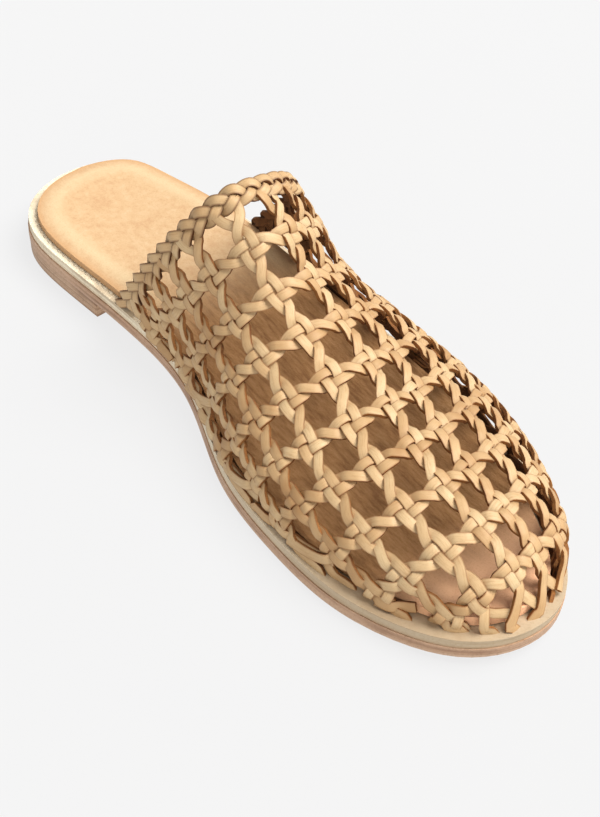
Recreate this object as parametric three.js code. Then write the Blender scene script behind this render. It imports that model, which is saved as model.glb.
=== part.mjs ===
// Woven mule, left shoe: heel block, outsole, midsole, insole and a net upper with a plaited collar.
// Millimetres. The shoe is worked out with x from the back of the heel to the toe, y to the outer side
// and z up from the floor, and is then centred over its own footprint.
import * as THREE from "three";

// Colour and roughness of each piece
const OUTSOLE_FINISH = [0x8e6548, 0.6];
const MIDSOLE_FINISH = [0xd9c7a4, 0.7];
const INSOLE_FINISH = [0xe8bf92, 0.9];
const HEEL_FINISH = [0x9a6f4e, 0.6];
const UPPER_FINISH = [0xd2a468, 0.55];

// Overall sizes
const LENGTH = 262;
const GAP = 0.3;

// Fineness of the faceted surfaces and of the measuring along curves
const STATIONS = 34;
const BREAST_STEPS = 7;
const SECTION_STEPS = 48;
const CREST_STEPS = 240;
const FRAME_STEPS = 90;
const TURN_STEP = 1e-3;
const SURFACE_STEP = 2e-3;

// Sole: heel height, layers and the way the underside runs
const HEEL_HEIGHT = 6.7;
const HEEL_BREAST = 66;
const BREAST_HOLLOW = 3;
const HEEL_INSET = 0.2;
const HEEL_TAPER = 0.3;
const ARCH_END = 165;
const SPRING_START = 205;
const TOE_SPRING = 5;
const OUTSOLE_THICK = 4;
const OUTSOLE_ROUND = 0.9;
const MIDSOLE_THICK = 3.5;
const MIDSOLE_INSET = 0.4;
const MIDSOLE_ROUND = 0.5;
const LEDGE = OUTSOLE_THICK + MIDSOLE_THICK;

// Insole: padded sock with a rolled edge
const INSOLE_THICK = 3;
const INSOLE_ROLL = 1.5;

// Half widths of the sole from the centre line, heel to toe
const SOLE_COLUMNS = ["x", "medial", "lateral"];
const SOLE_ROWS = [
  [8, 24, 22.5],
  [25, 34.3, 29.5],
  [50, 34, 36],
  [85, 30, 40.5],
  [120, 30, 44],
  [155, 41, 47.5],
  [185, 44.5, 47.5],
  [212, 43, 42.5],
  [236, 35.5, 31.5],
  [253, 24, 19],
];
const TOE_Y = -1.5;

// How far the insole's edge lies inside the sole's edge
const INSOLE_COLUMNS = ["x", "medial", "lateral"];
const INSOLE_ROWS = [
  [0, 4.4, 4],
  [25, 3.7, 3.4],
  [52, 3.2, 3.2],
  [72, 4, 5],
  [120, 4.6, 6.4],
  [171, 6.2, 7.5],
  [199, 7.2, 8],
  [223, 8.2, 8.1],
  [241, 8.5, 8],
  [251, 8.7, 8.5],
  [262, 8.8, 8.8],
];

// Sections of the last, from the collar (0) to the toe (1). Each leans from its foot on the ledge on both
// sides to its crest. "Out" and "rise" steer the wall above the ledge, "shoulder" the roundness of the top.
const LAST_COLUMNS = [
  "along", "medialX", "lateralX", "crestX", "crestY", "crestZ", "medialInset", "lateralInset",
  "medialOut", "lateralOut", "medialRise", "lateralRise", "medialShoulder", "lateralShoulder",
];
const LAST_ROWS = [
  [0.00, 74, 64, 110, -6.2, 78.3, 0.7, 1.5, 0.3, 9, 0.53, 0.5, 0.59, 0.66],
  [0.14, 96, 88, 124, -5.4, 70, 0.8, 2, 1.5, 7.5, 0.51, 0.5, 0.57, 0.55],
  [0.28, 120, 114, 138.7, -5.4, 56.5, 1.2, 2.9, 3.7, 13, 0.5, 0.36, 0.55, 0.42],
  [0.42, 146, 142, 158, -5.3, 45, 2, 3.7, 5, 19, 0.5, 0.42, 0.55, 0.45],
  [0.56, 173, 171, 180, -4.7, 39.5, 3, 4.2, 6, 21.5, 0.5, 0.42, 0.55, 0.51],
  [0.70, 199, 199, 203, -3.5, 38, 4, 4.8, 6, 18, 0.5, 0.45, 0.55, 0.54],
  [0.82, 223, 223, 224, -2.3, 36, 5.2, 5.1, 5, 16, 0.5, 0.5, 0.55, 0.57],
  [0.91, 240.5, 240.5, 241.5, -1.5, 32.8, 6.2, 5.8, 4.5, 16.5, 0.5, 0.5, 0.55, 0.6],
  [0.97, 251, 251, 252.5, -1, 24.5, 8, 7.8, 4, 15, 0.5, 0.5, 0.55, 0.6],
  [1.00, 256.3, 256.3, 257.2, -1, 13, 9.5, 9, 1, 4, 0.5, 0.5, 0.55, 0.59],
];

// Net: rows of crossings run over the foot, columns run along it
const ROW_COUNT = 9;
const FIRST_ROW = 22;
const ROW_PITCH = 15.9;
const WIDER_FROM = 3;
const WIDER_BY = 0.72;
const COLUMN_REACH = 6;
const CROSSING_HALF = 0.23;
const WAIST_HALF = 0.115;
const COLUMN_COLUMNS = ["along", "drift", "pitch"];
const COLUMN_ROWS = [
  [0, 10, 18],
  [0.2, 10.7, 17.4],
  [0.4, 14, 16.4],
  [0.5, 11.7, 16],
  [0.6, 5.2, 15.6],
  [0.7, 0, 15],
  [0.8, -4, 14.3],
  [0.9, -5, 13.6],
  [1, -4, 13.2],
];
// Places of the columns across the foot, in pitches: number, place
const COLUMN_PLACES = [
  [-8, -5.5],
  [-6, -4.55],
  [-5, -4.1],
  [-4, -3.5],
  [-3, -2.8],
  [-2, -2],
  [0, 0],
  [1, 0.8],
  [2, 1.8],
  [3, 2.65],
  [4, 3.4],
  [5, 3.95],
  [6, 4.45],
  [8, 5.5],
];
// Rows bow back towards the heel on both sides: columns from the middle, distance back
const ROW_BOW = [[0, 0], [1, 1.2], [2, 4.5], [3, 8], [4, 10.5], [6, 15]];
// Share of that bow: row, share
const BOW_SHARES = [[1, 0.45], [4, 0.55], [6, 1], [9, 1]];

// Wall of the upper, measured inward from the crowns of the strips, and its edges
const STRIP_EDGE = 0.9;
const WALL_INSIDE = 2.4;
const COLLAR_WIDTH = 9;
const RIM_HEIGHT = 2.2;
const LANDING_HALF = 2.8;
const LANDING_SPACE = 1.4;
const FRAME_STEP = 5.5;
const NODE_MARGIN = 3.2;

// Ends of the net's strips, in pitches of the net: longest search, its step, ends too shallow to show,
// and ends long enough to have a waist
const END_SEARCH = 2.5;
const END_STEP = 0.01;
const SHALLOW_END = 0.95;
const WAISTED_END = 0.78;

// Spreading of the ends along an edge
const SPREAD_PASSES = 200;
const SPREAD_EXTRA = 0.01;

const clamp = THREE.MathUtils.clamp;

// Reads one named column of a table
function column(columns, rows, name) {
  const k = columns.indexOf(name);
  return rows.map((row) => row[k]);
}

// Slopes at the ends of a shape-keeping curve
function endSlope(h0, h1, d0, d1) {
  const slope = ((2 * h0 + h1) * d0 - h0 * d1) / (h0 + h1);
  if (slope * d0 <= 0) {
    return 0;
  }
  return d0 * d1 <= 0 && Math.abs(slope) > 3 * Math.abs(d0) ? 3 * d0 : slope;
}

// Curve through a column that never overshoots its values
function keepShape(xs, ys) {
  const last = xs.length - 1;
  const h = xs.slice(1).map((x, k) => x - xs[k]);
  const d = h.map((step, k) => (ys[k + 1] - ys[k]) / step);
  const m = xs.map((x, k) => {
    if (k === 0) {
      return endSlope(h[0], h[1], d[0], d[1]);
    }
    if (k === last) {
      return endSlope(h[last - 1], h[last - 2], d[last - 1], d[last - 2]);
    }
    if (d[k - 1] * d[k] <= 0) {
      return 0;
    }
    const w1 = 2 * h[k] + h[k - 1];
    const w2 = h[k] + 2 * h[k - 1];
    return (w1 + w2) / (w1 / d[k - 1] + w2 / d[k]);
  });
  return (x) => {
    let k = 0;
    while (k < last - 1 && x > xs[k + 1]) {
      k += 1;
    }
    const t = clamp((x - xs[k]) / h[k], 0, 1);
    const t2 = t * t;
    const t3 = t2 * t;
    const ends = (2 * t3 - 3 * t2 + 1) * ys[k] + (3 * t2 - 2 * t3) * ys[k + 1];
    return ends + h[k] * ((t3 - 2 * t2 + t) * m[k] + (t3 - t2) * m[k + 1]);
  };
}

// Smooth curve with free ends
function natural(xs, ys) {
  const n = xs.length;
  const curve = new Array(n).fill(0);
  const diag = new Array(n).fill(1);
  const rhs = new Array(n).fill(0);
  for (let k = 1; k < n - 1; k += 1) {
    const h0 = xs[k] - xs[k - 1];
    const h1 = xs[k + 1] - xs[k];
    const pull = k > 1 ? h0 / diag[k - 1] : 0;
    diag[k] = 2 * (h0 + h1) - pull * (k > 1 ? h0 : 0);
    rhs[k] = 6 * ((ys[k + 1] - ys[k]) / h1 - (ys[k] - ys[k - 1]) / h0) - pull * rhs[k - 1];
  }
  for (let k = n - 2; k > 0; k -= 1) {
    curve[k] = (rhs[k] - (xs[k + 1] - xs[k]) * curve[k + 1]) / diag[k];
  }
  return (x) => {
    let k = 0;
    while (k < n - 2 && x > xs[k + 1]) {
      k += 1;
    }
    const h = xs[k + 1] - xs[k];
    const a = (xs[k + 1] - x) / h;
    const b = 1 - a;
    const bend = ((a ** 3 - a) * curve[k] + (b ** 3 - b) * curve[k + 1]) * (h * h) / 6;
    return a * ys[k] + b * ys[k + 1] + bend;
  };
}

// Outline of the sole. Turn 0 is the heel's back, pi the toe's tip.
const turnAt = (x) => Math.acos(clamp(1 - 2 * x / LENGTH, -1, 1));
const xAt = (turn) => LENGTH * (1 - Math.cos(turn)) / 2;
const soleTurns = [0, ...column(SOLE_COLUMNS, SOLE_ROWS, "x").map(turnAt), Math.PI];
const medialEdge = column(SOLE_COLUMNS, SOLE_ROWS, "medial").map((width) => -width);
const lateralEdge = column(SOLE_COLUMNS, SOLE_ROWS, "lateral");
const medialCurve = natural(soleTurns, [0, ...medialEdge, TOE_Y]);
const lateralCurve = natural(soleTurns, [0, ...lateralEdge, TOE_Y]);
const soleEdge = (x, side) => (side > 0 ? lateralCurve : medialCurve)(turnAt(x));

// Point of the outline moved inward by an inset
function outlinePoint(turn, side, inset) {
  const curve = side > 0 ? lateralCurve : medialCurve;
  const t0 = Math.max(turn - TURN_STEP, 0);
  const t1 = Math.min(turn + TURN_STEP, Math.PI);
  const dx = xAt(t1) - xAt(t0);
  const dy = curve(t1) - curve(t0);
  const size = Math.hypot(dx, dy);
  return new THREE.Vector2(xAt(turn) + side * inset * dy / size, curve(turn) - side * inset * dx / size);
}

// Height of the outsole's underside: level on the heel, down the arch, flat at the ball, up at the toe
function underside(x) {
  const arch = HEEL_HEIGHT * (1 - THREE.MathUtils.smoothstep(x, HEEL_BREAST, ARCH_END));
  const spring = clamp((x - SPRING_START) / (LENGTH - SPRING_START), 0, 1);
  return arch + TOE_SPRING * spring * spring;
}

// Closed body from positions and triangles
function solid(name, points, triangles, [colour, roughness]) {
  const geometry = new THREE.BufferGeometry();
  geometry.setAttribute("position", new THREE.Float32BufferAttribute(points.flat(), 3));
  geometry.setIndex(triangles.flat());
  geometry.computeVertexNormals();
  const material = new THREE.MeshStandardMaterial({ color: colour, roughness, metalness: 0 });
  const mesh = new THREE.Mesh(geometry, material);
  mesh.name = name;
  return mesh;
}

// Layer with the sole's outline. Each ring has an inset and a height over the underside, from the bottom
// ring to the top ring; both ends are closed.
function soleLayer(name, rings, turns, finish) {
  const points = [];
  const triangles = [];
  const count = turns.length;
  const around = 2 * count - 2;
  rings.forEach((ring) => {
    for (let k = 0; k < around; k += 1) {
      const lateral = k < count;
      const turn = turns[lateral ? k : around - k];
      const side = lateral ? 1 : -1;
      const flat = outlinePoint(turn, side, ring.inset(xAt(turn), side));
      points.push([flat.x, flat.y, ring.height(clamp(flat.x, 0, LENGTH))]);
    }
  });
  for (let r = 0; r + 1 < rings.length; r += 1) {
    for (let k = 0; k < around; k += 1) {
      const a = r * around + k;
      const b = r * around + (k + 1) % around;
      triangles.push([b, a, a + around], [b, a + around, b + around]);
    }
  }
  const top = (rings.length - 1) * around;
  for (let k = 0; k + 1 < count; k += 1) {
    const mates = [k, k + 1, (around - k - 1) % around, (around - k) % around];
    const [l0, l1, m1, m0] = mates;
    if (l1 !== m1) {
      triangles.push([l0, l1, m1]);
      triangles.push([top + l1, top + l0, top + m1]);
    }
    if (l0 !== m0) {
      const last = l1 === m1 ? l1 : m1;
      triangles.push([l0, last, m0]);
      triangles.push([top + last, top + l0, top + m0]);
    }
  }
  return solid(name, points, triangles, finish);
}

const fullTurns = Array.from({ length: STATIONS + 1 }, (unused, k) => Math.PI * k / STATIONS);

function makeOutsole() {
  const rings = [
    { inset: () => OUTSOLE_ROUND, height: underside },
    { inset: () => 0, height: (x) => underside(x) + OUTSOLE_ROUND },
    { inset: () => 0, height: (x) => underside(x) + OUTSOLE_THICK - GAP },
  ];
  return soleLayer("outsole", rings, fullTurns, OUTSOLE_FINISH);
}

function makeMidsole() {
  const bottom = (x) => underside(x) + OUTSOLE_THICK;
  const ledge = (x) => underside(x) + LEDGE;
  const rings = [
    { inset: () => MIDSOLE_INSET, height: bottom },
    { inset: () => MIDSOLE_INSET, height: (x) => ledge(x) - MIDSOLE_ROUND },
    { inset: () => MIDSOLE_INSET + MIDSOLE_ROUND, height: ledge },
  ];
  return soleLayer("midsole", rings, fullTurns, MIDSOLE_FINISH);
}

function makeInsole() {
  const xs = column(INSOLE_COLUMNS, INSOLE_ROWS, "x");
  const medial = keepShape(xs, column(INSOLE_COLUMNS, INSOLE_ROWS, "medial"));
  const lateral = keepShape(xs, column(INSOLE_COLUMNS, INSOLE_ROWS, "lateral"));
  const inset = (x, side) => (side > 0 ? lateral : medial)(x);
  const over = (rise) => (x) => underside(x) + LEDGE + GAP + rise;
  const corner = INSOLE_ROLL * (1 - Math.SQRT1_2);
  const rings = [
    { inset: (x, side) => inset(x, side) + corner, height: over(0) },
    { inset, height: over(INSOLE_THICK - INSOLE_ROLL) },
    { inset: (x, side) => inset(x, side) + corner, height: over(INSOLE_THICK - corner) },
    { inset: (x, side) => inset(x, side) + INSOLE_ROLL, height: over(INSOLE_THICK) },
  ];
  return soleLayer("insole", rings, fullTurns, INSOLE_FINISH);
}

// Heel block: the sole's outline up to the breast, which is hollowed a little
function makeHeel() {
  const end = turnAt(HEEL_BREAST);
  const steps = Math.ceil(STATIONS * end / Math.PI) + 1;
  const turns = Array.from({ length: steps + 1 }, (unused, k) => end * k / steps);
  const rings = [
    { inset: HEEL_INSET + HEEL_TAPER, z: 0 },
    { inset: HEEL_INSET, z: HEEL_HEIGHT - GAP },
  ];
  const points = [];
  let around = 0;
  rings.forEach((ring) => {
    const loop = [];
    turns.forEach((turn) => loop.push(outlinePoint(turn, 1, ring.inset)));
    const from = loop[loop.length - 1];
    const to = outlinePoint(end, -1, ring.inset);
    for (let k = 1; k < BREAST_STEPS; k += 1) {
      const share = k / BREAST_STEPS;
      const point = from.clone().lerp(to, share);
      point.x -= BREAST_HOLLOW * Math.sin(Math.PI * share);
      loop.push(point);
    }
    for (let k = steps; k > 0; k -= 1) {
      loop.push(outlinePoint(turns[k], -1, ring.inset));
    }
    around = loop.length;
    loop.forEach((point) => points.push([point.x, point.y, ring.z]));
  });
  const contour = points.slice(0, around).map((point) => new THREE.Vector2(point[0], point[1]));
  const cap = THREE.ShapeUtils.triangulateShape(contour, []);
  const triangles = [];
  cap.forEach((face) => {
    const [a, b, c] = face;
    const turned = (contour[b].x - contour[a].x) * (contour[c].y - contour[a].y)
      - (contour[b].y - contour[a].y) * (contour[c].x - contour[a].x);
    const up = turned > 0 ? [a, b, c] : [a, c, b];
    triangles.push(up.map((k) => k + around));
    triangles.push([up[0], up[2], up[1]]);
  });
  for (let k = 0; k < around; k += 1) {
    const next = (k + 1) % around;
    triangles.push([next, k, k + around], [next, k + around, next + around]);
  }
  return solid("heel", points, triangles, HEEL_FINISH);
}

// Sections of the last
const lastCurves = {};
LAST_COLUMNS.slice(1).forEach((name) => {
  const along = column(LAST_COLUMNS, LAST_ROWS, "along");
  lastCurves[name] = keepShape(along, column(LAST_COLUMNS, LAST_ROWS, name));
});
const sections = new Map();

// Point of one section; around runs from -1 (inner side foot) over 0 (crest) to 1 (outer side foot)
function sectionPoint(section, around) {
  const side = around > 0 ? "lateral" : "medial";
  const sign = around > 0 ? 1 : -1;
  const t = 1 - Math.abs(around);
  const r = 1 - t;
  const x = section[side + "X"];
  const foot = soleEdge(x, sign) - sign * section[side + "Inset"];
  const low = underside(x) + LEDGE + GAP;
  const shoulder = section.crestY + (foot - section.crestY) * section[side + "Shoulder"];
  const wall = foot + sign * section[side + "Out"];
  const y = r ** 3 * foot + 3 * t * r * r * wall + 3 * t * t * r * shoulder + t ** 3 * section.crestY;
  const rise = 3 * t * r * r * section[side + "Rise"] + 3 * t * t * r + t ** 3;
  return new THREE.Vector3(x + (section.crestX - x) * rise, y, low + (section.crestZ - low) * rise);
}

function sectionAt(along) {
  const key = along.toFixed(6);
  if (!sections.has(key)) {
    const section = {};
    Object.keys(lastCurves).forEach((name) => {
      section[name] = lastCurves[name](along);
    });
    section.girths = [-1, 1].map((sign) => {
      const run = [0];
      let before = sectionPoint(section, 0);
      for (let k = 1; k <= SECTION_STEPS; k += 1) {
        const point = sectionPoint(section, sign * k / SECTION_STEPS);
        run.push(run[k - 1] + point.distanceTo(before));
        before = point;
      }
      return run;
    });
    sections.set(key, section);
  }
  return sections.get(key);
}

const halfGirth = (along, sign) => sectionAt(along).girths[sign > 0 ? 1 : 0][SECTION_STEPS];

// Place in a section at a distance from the crest, minus to the inner side
function aroundAt(along, girth) {
  const sign = girth > 0 ? 1 : -1;
  const run = sectionAt(along).girths[sign > 0 ? 1 : 0];
  const want = Math.min(Math.abs(girth), run[SECTION_STEPS]);
  let k = 0;
  while (k < SECTION_STEPS - 1 && run[k + 1] < want) {
    k += 1;
  }
  return sign * clamp((k + (want - run[k]) / (run[k + 1] - run[k])) / SECTION_STEPS, 0, 1);
}

// Distance along the crest from the collar, and back
const crestRun = [0];
for (let k = 1; k <= CREST_STEPS; k += 1) {
  const before = sectionPoint(sectionAt((k - 1) / CREST_STEPS), 0);
  crestRun.push(crestRun[k - 1] + before.distanceTo(sectionPoint(sectionAt(k / CREST_STEPS), 0)));
}
function alongAt(distance) {
  const want = clamp(distance, 0, crestRun[CREST_STEPS]);
  let k = 0;
  while (k < CREST_STEPS - 1 && crestRun[k + 1] < want) {
    k += 1;
  }
  return clamp((k + (want - crestRun[k]) / (crestRun[k + 1] - crestRun[k])) / CREST_STEPS, 0, 1);
}

function outward(along, around) {
  const a0 = clamp(along - SURFACE_STEP, 0, 1);
  const a1 = clamp(along + SURFACE_STEP, 0, 1);
  const r0 = clamp(around - SURFACE_STEP, -1, 1);
  const r1 = clamp(around + SURFACE_STEP, -1, 1);
  const forward = sectionPoint(sectionAt(a1), around).sub(sectionPoint(sectionAt(a0), around));
  const across = sectionPoint(sectionAt(along), r1).sub(sectionPoint(sectionAt(along), r0));
  return forward.cross(across).normalize();
}

// Lattice of the net: rows count along the foot, columns across it
const columnAlong = column(COLUMN_COLUMNS, COLUMN_ROWS, "along");
const columnDrift = keepShape(columnAlong, column(COLUMN_COLUMNS, COLUMN_ROWS, "drift"));
const columnPitch = keepShape(columnAlong, column(COLUMN_COLUMNS, COLUMN_ROWS, "pitch"));
const pairs = (rows) => keepShape(rows.map((row) => row[0]), rows.map((row) => row[1]));
const columnPlace = pairs(COLUMN_PLACES);
const rowBow = pairs(ROW_BOW);
const bowShare = pairs(BOW_SHARES);
function rowDistance(row, col) {
  const middle = FIRST_ROW + ROW_PITCH * (row - 1) + WIDER_BY * Math.max(0, row - WIDER_FROM);
  return middle - bowShare(row) * rowBow(Math.abs(col));
}
function lattice(row, col) {
  const along = alongAt(rowDistance(row, col));
  return { along, girth: columnDrift(along) + columnPlace(col) * columnPitch(along) };
}

// Sheet of the net before it is given its thickness
const sheet = { points: [], normals: [], lifts: [], faces: [], keys: new Map() };
function sheetVertex(key, along, girth, lift) {
  if (!sheet.keys.has(key)) {
    const around = aroundAt(along, girth);
    sheet.keys.set(key, sheet.points.length);
    sheet.points.push(sectionPoint(sectionAt(along), around));
    sheet.normals.push(outward(along, around));
    sheet.lifts.push(lift);
  }
  return sheet.keys.get(key);
}
function sheetFace(ids, crowned) {
  const [a, b, c, d] = ids.map((id) => sheet.points[id]);
  const turned = c.clone().sub(a).cross(d.clone().sub(b));
  const normal = ids.reduce((sum, id) => sum.add(sheet.normals[id]), new THREE.Vector3());
  sheet.faces.push({ ids: turned.dot(normal) > 0 ? ids : ids.slice().reverse(), crowned });
}
function ladder(from, to) {
  sheetFace([from[0], from[1], to[1], to[0]], false);
  sheetFace([from[1], from[2], to[2], to[1]], false);
}

// Edges of the net: the plaited collar, the rim on both sides and the front of the toe
const COLLAR_ALONG = alongAt(COLLAR_WIDTH);
const TOE_ALONG = alongAt(crestRun[CREST_STEPS] - RIM_HEIGHT);
const rimGirth = (along, sign) => sign * (halfGirth(along, sign) - RIM_HEIGHT);
function framePiece(name, from, to, place) {
  const piece = { name, values: [], run: [0], place };
  let before = null;
  for (let k = 0; k <= FRAME_STEPS; k += 1) {
    const value = from + (to - from) * k / FRAME_STEPS;
    const spot = place(value);
    const point = sectionPoint(sectionAt(spot.along), aroundAt(spot.along, spot.girth));
    piece.values.push(value);
    if (before) {
      piece.run.push(piece.run[k - 1] + point.distanceTo(before));
    }
    before = point;
  }
  piece.length = piece.run[FRAME_STEPS];
  return piece;
}
const frame = [
  framePiece("collar", rimGirth(COLLAR_ALONG, -1), rimGirth(COLLAR_ALONG, 1),
    (girth) => ({ along: COLLAR_ALONG, girth })),
  framePiece("lateral", COLLAR_ALONG, TOE_ALONG, (along) => ({ along, girth: rimGirth(along, 1) })),
  framePiece("toe", rimGirth(TOE_ALONG, 1), rimGirth(TOE_ALONG, -1),
    (girth) => ({ along: TOE_ALONG, girth })),
  framePiece("medial", TOE_ALONG, COLLAR_ALONG, (along) => ({ along, girth: rimGirth(along, -1) })),
];
function runAt(piece, value) {
  const first = piece.values[0];
  const share = (value - first) / (piece.values[FRAME_STEPS] - first) * FRAME_STEPS;
  const k = clamp(Math.floor(share), 0, FRAME_STEPS - 1);
  return piece.run[k] + (share - k) * (piece.run[k + 1] - piece.run[k]);
}
function valueAt(piece, run) {
  let k = 0;
  while (k < FRAME_STEPS - 1 && piece.run[k + 1] < run) {
    k += 1;
  }
  const share = clamp((run - piece.run[k]) / (piece.run[k + 1] - piece.run[k]), 0, 1);
  return piece.values[k] + share * (piece.values[k + 1] - piece.values[k]);
}

// Crossings that lie well inside the edges
const crossings = new Set();
for (let row = 1; row <= ROW_COUNT; row += 1) {
  for (let col = -COLUMN_REACH; col <= COLUMN_REACH; col += 1) {
    const spot = lattice(row, col);
    const room = halfGirth(spot.along, spot.girth) - RIM_HEIGHT - Math.abs(spot.girth);
    const ahead = crestRun[CREST_STEPS] - rowDistance(row, col);
    if (room > NODE_MARGIN && ahead > NODE_MARGIN) {
      crossings.add(row + "," + col);
    }
  }
}

// One corner or side point of a crossing, offsets in -1, 0 and 1
function crossingVertex(row, col, p, q) {
  const spot = lattice(row + p * CROSSING_HALF, col + q * CROSSING_HALF);
  return sheetVertex(["node", row, col, p, q].join(), spot.along, spot.girth, -STRIP_EDGE);
}
function crossingSide(row, col, p, q) {
  return [-1, 0, 1].map((k) => crossingVertex(row, col, p === 0 ? k : p, q === 0 ? k : q));
}
function waist(row, col, p, q) {
  return [-1, 0, 1].map((k) => {
    const offset = k * WAIST_HALF;
    const middleRow = row + p / 2;
    const middleCol = col + q / 2;
    const spot = lattice(middleRow + (p === 0 ? offset : 0), middleCol + (q === 0 ? offset : 0));
    const key = ["waist", middleRow, middleCol, p === 0 ? "across" : "along", k].join();
    return sheetVertex(key, spot.along, spot.girth, k === 0 ? 0 : -STRIP_EDGE);
  });
}

// Where a pair of strips meets an edge of the net
function findLanding(row, col, p, q) {
  for (let t = CROSSING_HALF; t < END_SEARCH; t += END_STEP) {
    const spot = lattice(row + p * t, col + q * t);
    if (p < 0 && rowDistance(row - t, col) < COLLAR_WIDTH) {
      return { piece: frame[0], value: spot.girth, reach: t };
    }
    const sign = spot.girth > 0 ? 1 : -1;
    if (Math.abs(spot.girth) > Math.abs(rimGirth(spot.along, sign))) {
      return { piece: sign > 0 ? frame[1] : frame[3], value: spot.along, reach: t };
    }
    if (spot.along >= TOE_ALONG) {
      return { piece: frame[2], value: spot.girth, reach: t };
    }
  }
  return null;
}

const landings = [];
crossings.forEach((name) => {
  const [row, col] = name.split(",").map(Number);
  [[-1, -1], [-1, 0], [0, -1], [0, 0]].forEach(([p, q]) => {
    const corners = [[p, q], [p + 1, q], [p + 1, q + 1], [p, q + 1]];
    sheetFace(corners.map(([a, b]) => crossingVertex(row, col, a, b)), true);
  });
  [[0, 1], [1, 0], [0, -1], [-1, 0]].forEach(([p, q]) => {
    if (!crossings.has((row + p) + "," + (col + q))) {
      const landing = findLanding(row, col, p, q);
      if (p > 0 && (!landing || (landing.piece !== frame[2] && landing.reach > SHALLOW_END))) {
        return;
      }
      const backward = p > 0 || q < 0;
      landings.push({ row, col, p, q, backward, run: runAt(landing.piece, landing.value), ...landing });
    } else if (p + q > 0) {
      const middle = waist(row, col, p, q);
      ladder(crossingSide(row, col, p, q), middle);
      ladder(middle, crossingSide(row + p, col + q, -p, -q));
    }
  });
});

// Landings on one edge are kept apart, then the edge is filled in between them
const NEED = 2 * LANDING_HALF + LANDING_SPACE;
frame.forEach((piece) => {
  const own = landings.filter((landing) => landing.piece === piece);
  own.sort((a, b) => a.run - b.run);
  const low = LANDING_HALF + LANDING_SPACE;
  for (let pass = 0; pass < SPREAD_PASSES; pass += 1) {
    own.forEach((landing, k) => {
      const next = own[k + 1];
      if (next && next.run - landing.run < NEED) {
        const push = (NEED - next.run + landing.run) / 2 + SPREAD_EXTRA;
        landing.run -= push;
        next.run += push;
      }
      landing.run = clamp(landing.run, low, piece.length - low);
    });
  }
  piece.stops = [{ run: 0 }];
  own.forEach((landing) => {
    landing.stops = [-1, 0, 1].map((k) => ({ run: landing.run + k * LANDING_HALF }));
    piece.stops.push(...landing.stops);
  });
  piece.stops.push({ run: piece.length });
  const filled = [];
  piece.stops.forEach((stop, k) => {
    filled.push(stop);
    const next = piece.stops[k + 1];
    const extra = next ? Math.round((next.run - stop.run) / FRAME_STEP) - 1 : 0;
    for (let e = 1; e <= extra; e += 1) {
      filled.push({ run: stop.run + (next.run - stop.run) * e / (extra + 1) });
    }
  });
  piece.stops = filled;
});

// Points of the edges: the net's side, then outward to the free edge
function edgeVertex(along, girth) {
  return sheetVertex(["edge", along.toFixed(5), girth.toFixed(3)].join(), along, girth, -STRIP_EDGE);
}
frame.forEach((piece) => {
  const sign = piece.name === "medial" ? -1 : 1;
  piece.stops.forEach((stop) => {
    const spot = piece.place(valueAt(piece, stop.run));
    const scaled = (along) => {
      const side = spot.girth > 0 ? 1 : -1;
      return edgeVertex(along, spot.girth / rimGirth(spot.along, side) * rimGirth(along, side));
    };
    stop.ids = [edgeVertex(spot.along, spot.girth)];
    if (piece.name === "collar") {
      stop.ids.push(scaled(COLLAR_ALONG / 2), scaled(0));
    } else if (piece.name === "toe") {
      stop.ids.push(scaled(1));
    } else {
      stop.ids.push(edgeVertex(spot.along, sign * halfGirth(spot.along, sign)));
    }
  });
  piece.stops.slice(1).forEach((stop, k) => {
    const before = piece.stops[k];
    for (let r = 0; r + 1 < stop.ids.length; r += 1) {
      sheetFace([before.ids[r], stop.ids[r], stop.ids[r + 1], before.ids[r + 1]], piece.name === "collar");
    }
  });
});
[-1, 1].forEach((sign) => {
  const end = (along) => edgeVertex(along, sign * halfGirth(along, sign));
  const inner = (along) => edgeVertex(along, rimGirth(along, sign));
  const middle = COLLAR_ALONG / 2;
  sheetFace([inner(COLLAR_ALONG), inner(middle), end(middle), end(COLLAR_ALONG)], false);
  sheetFace([inner(middle), inner(0), end(0), end(middle)], false);
  sheetFace([inner(TOE_ALONG), end(TOE_ALONG), end(1), inner(1)], false);
});

landings.forEach((landing) => {
  const { row, col, p, q } = landing;
  const ends = landing.stops.map((stop) => stop.ids[0]);
  const target = landing.backward ? ends.reverse() : ends;
  const start = crossingSide(row, col, p, q);
  if (landing.reach > WAISTED_END) {
    const middle = waist(row, col, p, q);
    ladder(start, middle);
    ladder(middle, target);
  } else {
    ladder(start, target);
  }
});

// Gives the sheet its wall: crowned strips outside, a plain inside and walls round every opening
function makeUpper() {
  const points = [];
  const triangles = [];
  const count = sheet.points.length;
  const moved = (id, lift) => sheet.points[id].clone().addScaledVector(sheet.normals[id], lift).toArray();
  sheet.points.forEach((point, id) => points.push(moved(id, sheet.lifts[id])));
  sheet.points.forEach((point, id) => points.push(moved(id, -WALL_INSIDE)));
  const open = new Map();
  sheet.faces.forEach((face) => {
    const ids = face.ids;
    const inside = ids.map((id) => id + count);
    triangles.push([inside[0], inside[2], inside[1]], [inside[0], inside[3], inside[2]]);
    if (face.crowned) {
      const centre = ids.reduce((sum, id) => sum.add(sheet.points[id]), new THREE.Vector3());
      const crown = points.length;
      points.push(centre.divideScalar(ids.length).toArray());
      ids.forEach((id, k) => triangles.push([id, ids[(k + 1) % 4], crown]));
    } else {
      triangles.push([ids[0], ids[1], ids[2]], [ids[0], ids[2], ids[3]]);
    }
    ids.forEach((id, k) => {
      const next = ids[(k + 1) % 4];
      if (open.has(next + "," + id)) {
        open.delete(next + "," + id);
      } else {
        open.set(id + "," + next, [id, next]);
      }
    });
  });
  open.forEach(([a, b]) => {
    triangles.push([b, a, a + count], [b, a + count, b + count]);
  });
  return solid("upper", points, triangles, UPPER_FINISH);
}

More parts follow.
